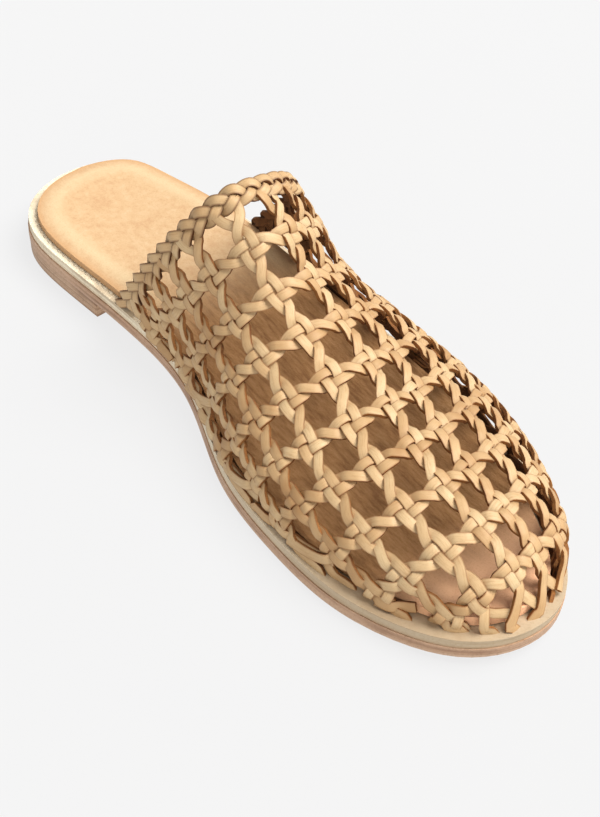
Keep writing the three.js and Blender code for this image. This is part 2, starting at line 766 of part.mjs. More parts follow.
const part = new THREE.Group();
part.name = "woven_mule";
part.add(makeHeel(), makeOutsole(), makeMidsole(), makeInsole(), makeUpper());
const box = new THREE.Box3().setFromObject(part);
const middle = box.getCenter(new THREE.Vector3());
part.children.forEach((mesh) => mesh.geometry.translate(-middle.x, -middle.y, -box.min.z));

export default part;
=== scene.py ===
"""Woven mule, left shoe: leather strips, plaited collar, padded insole and a layered leather sole.

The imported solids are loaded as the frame. Sizes below are millimetres in the shoe's own axes, x from the
back of the heel to the toe, y to the outer side and z up from the floor, and are moved into the frame.
"""
from __future__ import annotations

import logging
import math
from dataclasses import dataclass
from enum import Enum
from typing import Callable, Sequence

import bmesh
import bpy
import numpy as np
from mathutils import Matrix, Vector

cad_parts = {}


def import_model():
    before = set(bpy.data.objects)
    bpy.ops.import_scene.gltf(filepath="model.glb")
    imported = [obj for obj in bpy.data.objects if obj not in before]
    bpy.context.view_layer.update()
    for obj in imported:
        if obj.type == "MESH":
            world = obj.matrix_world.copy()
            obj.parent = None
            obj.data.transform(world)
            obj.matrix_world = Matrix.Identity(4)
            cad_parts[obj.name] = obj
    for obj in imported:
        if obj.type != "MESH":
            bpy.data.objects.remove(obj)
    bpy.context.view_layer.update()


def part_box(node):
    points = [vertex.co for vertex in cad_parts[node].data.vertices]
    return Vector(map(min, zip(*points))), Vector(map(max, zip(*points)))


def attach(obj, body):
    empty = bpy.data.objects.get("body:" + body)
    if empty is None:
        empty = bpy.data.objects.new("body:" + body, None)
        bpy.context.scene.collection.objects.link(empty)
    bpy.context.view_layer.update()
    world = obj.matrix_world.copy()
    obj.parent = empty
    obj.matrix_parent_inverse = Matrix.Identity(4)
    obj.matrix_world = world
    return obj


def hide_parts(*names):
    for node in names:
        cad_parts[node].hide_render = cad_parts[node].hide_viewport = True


LOG = logging.getLogger("woven_mule")
MM = 0.001
# Finishes are given as they show on the screen, which is brighter than the leather by this factor
EXPOSURE = 1.6
# Sockets of a colour mix: the two colours that go in and the one that comes out
MIX_FIRST = 6
MIX_SECOND = 7
MIX_RESULT = 2
# Weight that lets only the largest faces set a shared normal
FULL_WEIGHT = 100

Array = np.ndarray
Mesh = bmesh.types.BMesh
Thing = bpy.types.Object
Material = bpy.types.Material
Socket = bpy.types.NodeSocket
Triple = tuple[float, float, float]
Colour = Triple
# Range of a value and the range that it is mapped to
Grade = tuple[float, float, float, float]
# Strength of a relief and its height in metres
Relief = tuple[float, float]
Span = tuple[float, float]
Inset = Callable[[Array, Array], Array]
Height = Callable[[Array], Array]
StripLine = tuple[Array, Array, Array]


class Side(Enum):
    """The two sides of the foot, as signs of y."""

    MEDIAL = -1
    LATERAL = 1


class Course(Enum):
    """The two directions that strips run in."""

    ROW = "row"
    COLUMN = "column"


def srgb(red: int, green: int, blue: int) -> Colour:
    """Turn a colour as it shows in the studio's light into a shader's linear values.

    Args:
        red: Red share of 255, with a little more allowed for a pale layer that lies out of the light.
        green: Green share.
        blue: Blue share.

    Returns:
        The colour as three linear numbers.
    """
    def linear(value: int) -> float:
        """Linear value of one channel, by the screen's standard curve."""
        share = value / 255
        return (share / 12.92 if share <= 0.04045 else ((share + 0.055) / 1.055) ** 2.4) / EXPOSURE

    return linear(red), linear(green), linear(blue)


def columns(rows: Sequence[Sequence[float]]) -> list[list[float]]:
    """Turn the rows of a table into its columns."""
    return [list(column) for column in zip(*rows)]


def run_of(points: Array) -> Array:
    """Distances of a line's points from its start, along the line."""
    return np.concatenate([[0.0], np.cumsum(np.linalg.norm(np.diff(points, axis=0), axis=1))])


def unit(vectors: Array) -> Array:
    """The same directions at a length of one."""
    return vectors / np.linalg.norm(vectors, axis=-1, keepdims=True)


def smooth(share: Array) -> Array:
    """Soft step from 0 to 1."""
    return share * share * (3 - 2 * share)


class Curve:
    """Line through a short column of values."""

    def __init__(self, xs: Sequence[float], ys: Sequence[float]) -> None:
        """Keep the column, measure its steps and fit the line.

        Args:
            xs: Places, rising.
            ys: Values at those places.
        """
        self.x = np.asarray(xs, float)
        self.y = np.asarray(ys, float)
        self.gaps = np.diff(self.x)
        self.slopes = np.diff(self.y) / self.gaps
        self.fit()

    def fit(self) -> None:
        """Work out what the line needs at each place; a straight one needs nothing."""

    def step_of(self, at: Array) -> Array:
        """Number of the step that each place lies in."""
        return np.clip(np.searchsorted(self.x, at, side="right") - 1, 0, len(self.x) - 2)


class KeepShape(Curve):
    """Curve that never overshoots its values."""

    def fit(self) -> None:
        """Work out the slope at each place."""
        h = self.gaps
        d = self.slopes
        self.m = np.zeros_like(self.x)
        for k in range(1, len(h)):
            if d[k - 1] * d[k] > 0:
                w1 = 2 * h[k] + h[k - 1]
                w2 = h[k] + 2 * h[k - 1]
                self.m[k] = (w1 + w2) / (w1 / d[k - 1] + w2 / d[k])
        self.m[0] = self._end(h[0], h[1], d[0], d[1])
        self.m[-1] = self._end(h[-1], h[-2], d[-1], d[-2])

    @staticmethod
    def _end(h0: float, h1: float, d0: float, d1: float) -> float:
        """Slope at an end, held to the run of the first step.

        Args:
            h0: Length of the end's own step.
            h1: Length of the step beside it.
            d0: Slope of the end's own step.
            d1: Slope of the step beside it.

        Returns:
            The slope.
        """
        slope = ((2 * h0 + h1) * d0 - h0 * d1) / (h0 + h1)
        if slope * d0 <= 0:
            return 0.0
        return 3 * d0 if d0 * d1 <= 0 and abs(slope) > 3 * abs(d0) else slope

    def __call__(self, at: Array | float) -> Array:
        """Value of the curve.

        Args:
            at: Places, held to the column's ends.

        Returns:
            The values there.
        """
        at = np.clip(np.asarray(at, float), self.x[0], self.x[-1])
        k = self.step_of(at)
        h = self.gaps[k]
        t = (at - self.x[k]) / h
        ends = (2 * t**3 - 3 * t**2 + 1) * self.y[k] + (3 * t**2 - 2 * t**3) * self.y[k + 1]
        return ends + h * ((t**3 - 2 * t**2 + t) * self.m[k] + (t**3 - t**2) * self.m[k + 1])


class FreeEnds(Curve):
    """Smooth curve that runs out straight at both ends."""

    def fit(self) -> None:
        """Solve for the bend at each place."""
        h = self.gaps
        system = np.eye(len(self.x))
        pull = np.zeros(len(self.x))
        for k in range(1, len(h)):
            system[k, k - 1:k + 2] = h[k - 1], 2 * (h[k - 1] + h[k]), h[k]
            pull[k] = 6 * (self.slopes[k] - self.slopes[k - 1])
        self.bend = np.linalg.solve(system, pull)

    def __call__(self, at: Array | float) -> Array:
        """Value of the curve.

        Args:
            at: Places along the column.

        Returns:
            The values there.
        """
        at = np.asarray(at, float)
        k = self.step_of(at)
        h = self.gaps[k]
        a = (self.x[k + 1] - at) / h
        b = 1 - a
        bend = ((a**3 - a) * self.bend[k] + (b**3 - b) * self.bend[k + 1]) * h * h / 6
        return a * self.y[k] + b * self.y[k + 1] + bend


# Half widths of the sole: x, inner side, outer side
SOLE_ROWS = (
    (8, 24, 22.5),
    (25, 34.3, 29.5),
    (50, 34, 36),
    (85, 30, 40.5),
    (120, 30, 44),
    (155, 41, 47.5),
    (185, 44.5, 47.5),
    (212, 43, 42.5),
    (236, 35.5, 31.5),
    (253, 24, 19),
)
# Edge of the insole inside the sole's edge: x, inner side, outer side
INSOLE_ROWS = (
    (0, 4.4, 4),
    (25, 3.7, 3.4),
    (52, 3.2, 3.2),
    (72, 3.4, 4),
    (120, 3.4, 4.6),
    (171, 4.8, 5.8),
    (199, 6.2, 6.8),
    (223, 7.6, 7.2),
    (241, 7, 6.8),
    (251, 6.4, 6.4),
    (262, 6.2, 6.2),
)
# Sections of the last from the collar (0) to the toe (1)
LAST_NAMES = (
    "along", "medial_x", "lateral_x", "crest_x", "crest_y", "crest_z", "medial_inset", "lateral_inset",
    "medial_out", "lateral_out", "medial_rise", "lateral_rise", "medial_shoulder", "lateral_shoulder",
)
LAST_ROWS = (
    (0.00, 74, 64, 110, -6.2, 78.3, 0.7, 1.5, 0.3, 9, 0.53, 0.5, 0.59, 0.66),
    (0.14, 96, 88, 124, -5.4, 70, 0.8, 2, 1.5, 7.5, 0.51, 0.5, 0.57, 0.55),
    (0.28, 120, 114, 138.7, -5.4, 56.5, 1.2, 2.9, 3.7, 13, 0.5, 0.36, 0.55, 0.42),
    (0.42, 146, 142, 158, -5.3, 45, 2, 3.7, 5, 19, 0.5, 0.42, 0.55, 0.45),
    (0.56, 173, 171, 180, -4.7, 39.5, 3, 4.2, 6, 21.5, 0.5, 0.42, 0.55, 0.51),
    (0.70, 199, 199, 203, -3.5, 38, 4, 4.8, 6, 18, 0.5, 0.45, 0.55, 0.54),
    (0.82, 223, 223, 224, -2.3, 36, 5.2, 5.1, 5, 16, 0.5, 0.5, 0.55, 0.57),
    (0.91, 240.5, 240.5, 241.5, -1.5, 32.8, 6.2, 5.8, 4.5, 16.5, 0.5, 0.5, 0.55, 0.6),
    (0.97, 251, 251, 252.5, -1, 24.5, 8, 7.8, 4, 15, 0.5, 0.5, 0.55, 0.6),
    (1.00, 256.3, 256.3, 257.2, -1, 13, 9.5, 9, 1, 4, 0.5, 0.5, 0.55, 0.59),
)
# Columns of the net: along, drift from the crest, pitch
COLUMN_ROWS = (
    (0, 10, 18),
    (0.2, 10.7, 17.4),
    (0.4, 14, 16.4),
    (0.5, 11.7, 16),
    (0.6, 5.2, 15.6),
    (0.7, 0, 15),
    (0.8, -4, 14.3),
    (0.9, -5, 13.6),
    (1, -4, 13.2),
)
# Places of the columns across the foot, in pitches: number, place
COLUMN_PLACES = (
    (-8, -5.5),
    (-6, -4.55),
    (-5, -4.1),
    (-4, -3.5),
    (-3, -2.8),
    (-2, -2),
    (0, 0),
    (1, 0.8),
    (2, 1.8),
    (3, 2.65),
    (4, 3.4),
    (5, 3.95),
    (6, 4.45),
    (8, 5.5),
)
# Rows bow back towards the heel on both sides: columns from the middle, distance back
ROW_BOW = ((0, 0), (1, 1.2), (2, 4.5), (3, 8), (4, 10.5), (6, 15))
# Share of that bow: row, share
BOW_SHARES = ((1, 0.45), (4, 0.55), (6, 1), (9, 1))


@dataclass
class Footprint:
    """Outline of the sole and the run of its underside."""

    length: float = 262.0
    toe_y: float = -1.5
    heel_height: float = 6.7
    heel_breast: float = 66.0
    arch_end: float = 165.0
    spring_start: float = 205.0
    toe_spring: float = 5.0
    outsole: float = 4.0
    midsole: float = 3.5
    gap: float = 0.3
    edge_samples: int = 400
    turn_step: float = 1e-3

    def __post_init__(self) -> None:
        """Fit the two edges and find the shift into the frame."""
        xs, medial, lateral = columns(SOLE_ROWS)
        turns = np.concatenate([[0.0], self.turn_at(np.asarray(xs)), [math.pi]])
        self.edges = {
            Side.MEDIAL: FreeEnds(turns, [0.0] + [-w for w in medial] + [self.toe_y]),
            Side.LATERAL: FreeEnds(turns, [0.0] + list(lateral) + [self.toe_y]),
        }
        low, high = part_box("outsole")
        run = np.linspace(0, math.pi, self.edge_samples)
        middle = (self.edges[Side.LATERAL](run).max() + self.edges[Side.MEDIAL](run).min()) / 2
        self.shift = np.array([low[0] / MM, (low[1] + high[1]) / 2 / MM - middle, 0.0])

    @property
    def ledge(self) -> float:
        """Height of the midsole's top over the underside."""
        return self.outsole + self.midsole

    def turn_at(self, x: Array) -> Array:
        """Angle round the outline for a place along the sole."""
        return np.arccos(np.clip(1 - 2 * np.asarray(x, float) / self.length, -1, 1))

    def x_at(self, turn: Array) -> Array:
        """Place along the sole for an angle round the outline."""
        return self.length * (1 - np.cos(turn)) / 2

    def edge(self, x: Array, side: Side) -> Array:
        """Position of one edge across the sole."""
        return self.edges[side](self.turn_at(x))

    def outline(self, turn: Array, sign: Array, inset: Inset) -> Array:
        """Points of the outline, moved inward.

        Args:
            turn: Angles from the heel's back (0) to the toe's tip (pi).
            sign: -1 on the inner side, 1 on the outer side.
            inset: Distance inward for a place and a side.

        Returns:
            Points in plan, one row each.
        """
        def spot(angle: Array) -> Array:
            """Point of the plain outline."""
            y = np.where(sign > 0, self.edges[Side.LATERAL](angle), self.edges[Side.MEDIAL](angle))
            return np.stack([self.x_at(angle), y], -1)

        ahead = np.minimum(turn + self.turn_step, math.pi)
        behind = np.maximum(turn - self.turn_step, 0.0)
        run = unit(spot(ahead) - spot(behind))
        inward = np.stack([run[:, 1], -run[:, 0]], -1) * sign[:, None]
        return spot(turn) + inward * inset(self.x_at(turn), sign)[:, None]

    def underside(self, x: Array) -> Array:
        """Height of the outsole's underside: level heel, arch, flat ball and sprung toe.

        Args:
            x: Places along the sole.

        Returns:
            Heights over the floor.
        """
        x = np.asarray(x, float)
        down = np.clip((x - self.heel_breast) / (self.arch_end - self.heel_breast), 0, 1)
        spring = np.clip((x - self.spring_start) / (self.length - self.spring_start), 0, 1)
        return self.heel_height * (1 - smooth(down)) + self.toe_spring * spring**2

    def place(self, points: Array) -> Array:
        """Move points from the shoe's axes to the frame, in metres."""
        return (np.asarray(points) + self.shift) * MM


@dataclass
class Last:
    """The form that the upper is drawn over, measured at the crowns of the strips."""

    foot: Footprint
    along_steps: int = 240
    around_steps: int = 160
    girth_steps: int = 640

    def __post_init__(self) -> None:
        """Sample the form on an even mesh of sections and girths."""
        table = columns(LAST_ROWS)
        self.curves = {n: KeepShape(table[0], c) for n, c in zip(LAST_NAMES[1:], table[1:])}
        self.along = np.linspace(0, 1, self.along_steps + 1)
        share = np.linspace(-1, 1, self.around_steps + 1)
        fine = np.linspace(0, 1, self.girth_steps + 1)
        self.mesh = np.zeros((len(self.along), len(share), 3))
        self.girth = {side: np.zeros(len(self.along)) for side in Side}
        for k, along in enumerate(self.along):
            for side in Side:
                points = self.section(along, fine, side)
                run = run_of(points)
                self.girth[side][k] = run[-1]
                own = share * side.value >= 0
                want = np.abs(share[own]) * run[-1]
                for axis in range(3):
                    self.mesh[k, own, axis] = np.interp(want, run, points[:, axis])
        self.normals = unit(np.cross(np.gradient(self.mesh, axis=0), np.gradient(self.mesh, axis=1)))
        self.crest = run_of(self.mesh[:, self.around_steps // 2])

    def section(self, along: float, share: Array, side: Side) -> Array:
        """Half of one leaning section.

        Args:
            along: Section, 0 at the collar and 1 at the toe.
            share: 0 at the crest to 1 at the foot on the ledge.
            side: Side of the foot.

        Returns:
            Points in the shoe's axes.
        """
        value = {name: float(curve(along)) for name, curve in self.curves.items()}
        key = side.name.lower()
        t = 1 - share
        r = share
        x = value[key + "_x"]
        foot = float(self.foot.edge(x, side)) - side.value * value[key + "_inset"]
        low = float(self.foot.underside(x)) + self.foot.ledge + self.foot.gap
        shoulder = value["crest_y"] + (foot - value["crest_y"]) * value[key + "_shoulder"]
        wall = foot + side.value * value[key + "_out"]
        y = r**3 * foot + 3 * t * r * r * wall + 3 * t * t * r * shoulder + t**3 * value["crest_y"]
        rise = 3 * t * r * r * value[key + "_rise"] + 3 * t * t * r + t**3
        return np.stack([x + (value["crest_x"] - x) * rise, y, low + (value["crest_z"] - low) * rise], -1)

    def half_girth(self, along: Array, sign: Array) -> Array:
        """Distance from the crest to the ledge.

        Args:
            along: Sections.
            sign: Below 0 on the inner side, above it on the outer side.

        Returns:
            The distances on the form.
        """
        medial = np.interp(along, self.along, self.girth[Side.MEDIAL])
        lateral = np.interp(along, self.along, self.girth[Side.LATERAL])
        return np.where(np.asarray(sign) > 0, lateral, medial)

    def along_at(self, distance: Array) -> Array:
        """Section at a distance along the crest from the collar."""
        return np.interp(distance, self.crest, self.along)

    def locate(self, along: Array, girth: Array) -> tuple[Array, Array]:
        """Points and outward normals of the form.

        Args:
            along: Sections.
            girth: Distances from the crest, minus on the inner side.

        Returns:
            Points and unit normals in the shoe's axes.
        """
        share = np.clip(girth / self.half_girth(along, girth), -1, 1)
        row = np.clip(along, 0, 1) * self.along_steps
        col = (share + 1) / 2 * self.around_steps
        i = np.minimum(row.astype(int), self.along_steps - 1)
        j = np.minimum(col.astype(int), self.around_steps - 1)
        p = (row - i)[:, None]
        q = (col - j)[:, None]

        def between(table: Array) -> Array:
            """Blend of the four nearest entries of a table."""
            near = table[i, j] * (1 - q) + table[i, j + 1] * q
            return near * (1 - p) + (table[i + 1, j] * (1 - q) + table[i + 1, j + 1] * q) * p

        return between(self.mesh), unit(between(self.normals))


class Shader:
    """Small helper that builds one node material."""

    def __init__(self, name: str) -> None:
        """Start a material with a principled shader.

        Args:
            name: Name of the finish.
        """
        self.material = bpy.data.materials.new(name)
        self.material.use_nodes = True
        self.tree = self.material.node_tree
        self.body = self.tree.nodes["Principled BSDF"]

    def node(self, kind: str, joins: dict[str | int, Socket] | None = None,
             values: dict[str | int, object] | None = None, **settings: object) -> bpy.types.Node:
        """Add a node.

        Args:
            kind: Blender's name for it.
            joins: Sockets that feed its inputs.
            values: Constant inputs.
            **settings: Its properties.

        Returns:
            The node.
        """
        made = self.tree.nodes.new(kind)
        for key, value in settings.items():
            setattr(made, key, value)
        for key, source in (joins or {}).items():
            self.tree.links.new(source, made.inputs[key])
        for key, value in (values or {}).items():
            made.inputs[key].default_value = value
        return made

    def set_body(self, **values: object) -> None:
        """Set constant inputs of the principled shader, their names joined by underscores."""
        for key, value in values.items():
            self.body.inputs[key.replace("_", " ")].default_value = value

    def place(self) -> Socket:
        """Object coordinates of the piece."""
        return self.node("ShaderNodeTexCoord").outputs["Object"]

    def attribute(self, name: str, output: str = "Vector") -> Socket:
        """Attribute that the mesh carries."""
        return self.node("ShaderNodeAttribute", attribute_name=name).outputs[output]

    def split(self, vector: Socket, axis: str) -> Socket:
        """One part of a vector."""
        return self.node("ShaderNodeSeparateXYZ", {0: vector}).outputs[axis]

    def stretch(self, vector: Socket, scale: Triple) -> Socket:
        """Scale a vector before it goes to a texture."""
        return self.node("ShaderNodeMapping", {"Vector": vector}, {"Scale": scale}).outputs["Vector"]

    def noise(self, vector: Socket, scale: float = 1.0, detail: float = 4.0, rough: float = 0.55,
              twist: float = 0.0) -> Socket:
        """Cloudy noise.

        Args:
            vector: Where it is read.
            scale: Features in a metre.
            detail: Number of finer layers.
            rough: Weight of the finer layers.
            twist: How far the noise bends itself.

        Returns:
            The grey value.
        """
        values = {"Scale": scale, "Detail": detail, "Roughness": rough, "Distortion": twist}
        return self.node("ShaderNodeTexNoise", {"Vector": vector}, values).outputs["Fac"]

    def cells(self, vector: Socket) -> Socket:
        """Distance to the nearest of many scattered points."""
        return self.node("ShaderNodeTexVoronoi", {"Vector": vector}, {"Scale": 1.0}).outputs["Distance"]

    def ramp(self, fac: Socket, stops: Sequence[float], colours: Sequence[Colour]) -> Socket:
        """Colours along a grey value.

        Args:
            fac: Grey value.
            stops: Values at which the colours are reached, rising.
            colours: The colours.

        Returns:
            The colour.
        """
        made = self.node("ShaderNodeValToRGB", {"Fac": fac})
        scale = made.color_ramp.elements
        while len(scale) < len(stops):
            scale.new(0.5)
        for element, at, colour in zip(scale, stops, colours):
            element.position = at
            element.color = (*colour, 1.0)
        return made.outputs["Color"]

    def grade(self, value: Socket, low: float, high: float, to_low: float = 0.0,
              to_high: float = 1.0) -> Socket:
        """Map a range of values to another, held at its ends.

        Args:
            value: Value to map.
            low: Start of its range.
            high: End of its range.
            to_low: What the start becomes.
            to_high: What the end becomes.

        Returns:
            The mapped value.
        """
        values = {"From Min": low, "From Max": high, "To Min": to_low, "To Max": to_high}
        return self.node("ShaderNodeMapRange", {"Value": value}, values).outputs["Result"]

    def size(self, value: Socket) -> Socket:
        """Value without its sign."""
        return self.node("ShaderNodeMath", {0: value}, operation="ABSOLUTE").outputs[0]

    def times(self, value: Socket, share: float) -> Socket:
        """Share of a value."""
        return self.node("ShaderNodeMath", {0: value}, {1: share}, operation="MULTIPLY").outputs[0]

    def weigh(self, first: Socket, second: Socket, share: float) -> Socket:
        """Two values added, the first by its share and the second by the rest."""
        parts = {0: self.times(first, share), 1: self.times(second, 1 - share)}
        return self.node("ShaderNodeMath", parts, operation="ADD").outputs[0]

    def blend(self, fac: Socket, first: Socket | Colour, second: Socket | Colour,
              kind: str = "MIX") -> Socket:
        """Mix two colours.

        Args:
            fac: Share of the second colour.
            first: Colour or socket.
            second: Colour or socket.
            kind: Way of mixing.

        Returns:
            The mixed colour.
        """
        made = self.node("ShaderNodeMix", {0: fac}, data_type="RGBA", blend_type=kind)
        for key, value in ((MIX_FIRST, first), (MIX_SECOND, second)):
            if isinstance(value, tuple):
                made.inputs[key].default_value = (*value, 1.0)
            else:
                self.tree.links.new(value, made.inputs[key])
        return made.outputs[MIX_RESULT]

    def bump(self, height: Socket, strength: float, depth: float, under: Socket | None = None) -> Socket:
        """Relief from a height.

        Args:
            height: Grey height.
            strength: Share of the relief.
            depth: Height of the relief in metres.
            under: Relief that lies beneath it.

        Returns:
            The bent normal.
        """
        joins = {"Height": height} if under is None else {"Height": height, "Normal": under}
        values = {"Strength": strength, "Distance": depth}
        return self.node("ShaderNodeBump", joins, values).outputs["Normal"]

    def finish(self, colour: Socket, rough: Socket, normal: Socket) -> Material:
        """Join colour, roughness and relief to the shader.

        Args:
            colour: Colour of the surface.
            rough: Its roughness.
            normal: Its relief.

        Returns:
            The finished material.
        """
        for key, source in (("Base Color", colour), ("Roughness", rough), ("Normal", normal)):
            self.tree.links.new(source, self.body.inputs[key])
        return self.material


@dataclass(frozen=True)
class StripLeather:
    """Natural tan strip: grain, pores, fibres along its run and burnished edges."""

    half_width: float
    name: str = "strip_leather"
    light: Colour = srgb(250, 222, 176)
    middle: Colour = srgb(237, 201, 152)
    dark: Colour = srgb(211, 167, 116)
    edge: Colour = srgb(168, 112, 62)
    rim_from: float = 0.74
    rim_share: float = 0.75
    cloud_scale: float = 70.0
    cloud_share: float = 0.55
    stops: Triple = (0.28, 0.5, 0.74)
    fibre_scale: Triple = (260.0, 2600.0, 40.0)
    fibre_flecks: Grade = (0.5, 0.7, 0.0, 0.5)
    fibre_rough: Grade = (0.3, 0.7, 0.46, 0.62)
    fibre_relief: Relief = (0.35, 0.00016)
    pore_scale: Triple = (1500.0, 2300.0, 60.0)
    pore_shade: Grade = (0.05, 0.3, 0.45, 0.0)
    pore_pit: Span = (0.0, 0.35)
    pore_relief: Relief = (0.25, 0.00012)
    shine: float = 0.42

    def make(self) -> Material:
        """Build the material for the strips' faces.

        Returns:
            The material.
        """
        shader = Shader(self.name)
        strip = shader.attribute("strip")
        clouds = shader.noise(shader.place(), self.cloud_scale, detail=3.0)
        fibres = shader.noise(shader.stretch(strip, self.fibre_scale), detail=5.0, rough=0.6)
        pores = shader.cells(shader.stretch(strip, self.pore_scale))
        level = shader.weigh(clouds, shader.split(strip, "Z"), self.cloud_share)
        base = shader.ramp(level, self.stops, (self.dark, self.middle, self.light))
        flecked = shader.blend(shader.grade(fibres, *self.fibre_flecks), base, self.dark)
        pitted = shader.blend(shader.grade(pores, *self.pore_shade), flecked, self.dark)
        half = self.half_width * MM
        across = shader.size(shader.split(strip, "Y"))
        rim = shader.grade(across, self.rim_from * half, half, 0.0, self.rim_share)
        relief = shader.bump(fibres, *self.fibre_relief)
        relief = shader.bump(shader.grade(pores, *self.pore_pit), *self.pore_relief, relief)
        shader.set_body(Specular_IOR_Level=self.shine)
        colour = shader.blend(rim, pitted, self.edge)
        return shader.finish(colour, shader.grade(fibres, *self.fibre_rough), relief)


@dataclass(frozen=True)
class RawLeather:
    """Rough side of a strip, as it was cut or split."""

    name: str = "cut_edge"
    light: Colour = srgb(206, 146, 82)
    dark: Colour = srgb(142, 88, 42)
    fuzz_scale: float = 900.0
    fuzz_weight: float = 0.65
    cloud_scale: float = 110.0
    fuzz_share: float = 0.5
    stops: Span = (0.36, 0.66)
    dull: Grade = (0.3, 0.7, 0.7, 0.9)
    relief: Relief = (0.5, 0.0002)

    def make(self) -> Material:
        """Build the material for the strips' sides or backs.

        Returns:
            The material.
        """
        shader = Shader(self.name)
        spot = shader.place()
        fuzz = shader.noise(spot, self.fuzz_scale, rough=self.fuzz_weight)
        clouds = shader.noise(spot, self.cloud_scale, detail=2.0)
        level = shader.weigh(fuzz, clouds, self.fuzz_share)
        colour = shader.ramp(level, self.stops, (self.dark, self.light))
        return shader.finish(colour, shader.grade(fuzz, *self.dull), shader.bump(fuzz, *self.relief))


CUT_EDGE = RawLeather()
# Darker than the strips' cut edges: partly the edges' own colour, partly painted shade in the plait's gaps
PLAIT_EDGE = RawLeather("plait_edge", srgb(150, 98, 50), srgb(96, 58, 26))
FLESH_SIDE = RawLeather("flesh_side", srgb(176, 124, 76), srgb(116, 76, 42), fuzz_scale=1300.0,
                        fuzz_weight=0.7, cloud_scale=120.0, dull=(0.3, 0.7, 0.85, 1.0),
                        relief=(0.6, 0.0003))


@dataclass(frozen=True)
class Suede:
    """Soft peach suede with a short nap, with painted shade under the net and along its rolled edge, a
    painted highlight band inside the edge and painted light on the toe end.
    """

    light: Colour = srgb(249, 217, 175)
    middle: Colour = srgb(243, 207, 163)
    dark: Colour = srgb(235, 194, 150)
    # Darker rim colour: painted shade on the rolled edge, where it turns down and away from the light; it
    # also tints the nap
    rim: Colour = srgb(236, 192, 144)
    # Painted highlight in a band inside the edge, over the raised ridge
    painted_highlight: Colour = srgb(254, 230, 188)
    painted_highlight_share: float = 0.7
    # Painted shade: darker tones that stand in for the shade under the net
    darker_tone: Colour = srgb(214, 164, 112)
    painted_shade_light: Colour = srgb(229, 181, 129)
    painted_shade_dark: Colour = srgb(186, 138, 94)
    # Painted light: brighter than the suede, so the shaded toe end looks lit
    toe: Colour = srgb(300, 242, 194)
    cloud_scale: float = 38.0
    cloud_share: float = 0.3
    stops: Triple = (0.33, 0.5, 0.68)
    drawn_scale: float = 380.0
    drawn_relief: Relief = (0.25, 0.0005)
    streak_scale: Triple = (150.0, 620.0, 150.0)
    streak_stops: Triple = (0.34, 0.5, 0.66)
    nap_scale: float = 1700.0
    nap_shade: Grade = (0.5, 0.75, 0.0, 0.3)
    nap_rough: Grade = (0.3, 0.7, 0.8, 0.98)
    nap_relief: Relief = (0.45, 0.0003)
    sheen: float = 0.06
    sheen_rough: float = 0.6
    sheen_tint: Colour = (1.0, 0.9, 0.78)
    shine: float = 0.2

    def make(self) -> Material:
        """Build the material for the insole.

        Returns:
            The material.
        """
        shader = Shader("insole_suede")
        spot = shader.place()
        clouds = shader.noise(spot, self.cloud_scale, rough=0.6, twist=0.4)
        nap = shader.noise(spot, self.nap_scale, detail=5.0, rough=0.7)
        drawn = shader.noise(spot, self.drawn_scale, rough=0.6)
        streaks = shader.noise(shader.stretch(spot, self.streak_scale), detail=5.0, rough=0.65)
        level = shader.weigh(clouds, drawn, self.cloud_share)
        base = shader.ramp(level, self.stops, (self.dark, self.middle, self.light))
        zones = shader.attribute("zones")
        # Painted highlight in a band along the ridge inside the edge
        with_painted_highlight = shader.blend(shader.times(shader.split(zones, "Z"), self.painted_highlight_share), base, self.painted_highlight)
        # Painted shade along the rolled edge
        painted_rim_shade = shader.blend(shader.split(zones, "X"), with_painted_highlight, self.rim)
        # Painted shade under the net, with streaks in it
        darker_tone = shader.ramp(streaks, self.streak_stops, (self.painted_shade_dark, self.darker_tone, self.painted_shade_light))
        darkened = shader.blend(shader.split(zones, "Y"), painted_rim_shade, darker_tone)
        # Painted light on the toe end
        painted_toe_light = shader.blend(shader.attribute("toe_end", "Fac"), darkened, self.toe)
        colour = shader.blend(shader.grade(nap, *self.nap_shade), painted_toe_light, self.rim, "MULTIPLY")
        relief = shader.bump(nap, *self.nap_relief, shader.bump(drawn, *self.drawn_relief))
        shader.set_body(Sheen_Weight=self.sheen, Sheen_Roughness=self.sheen_rough,
                        Sheen_Tint=(*self.sheen_tint, 1.0), Specular_IOR_Level=self.shine)
        return shader.finish(colour, shader.grade(nap, *self.nap_rough), relief)


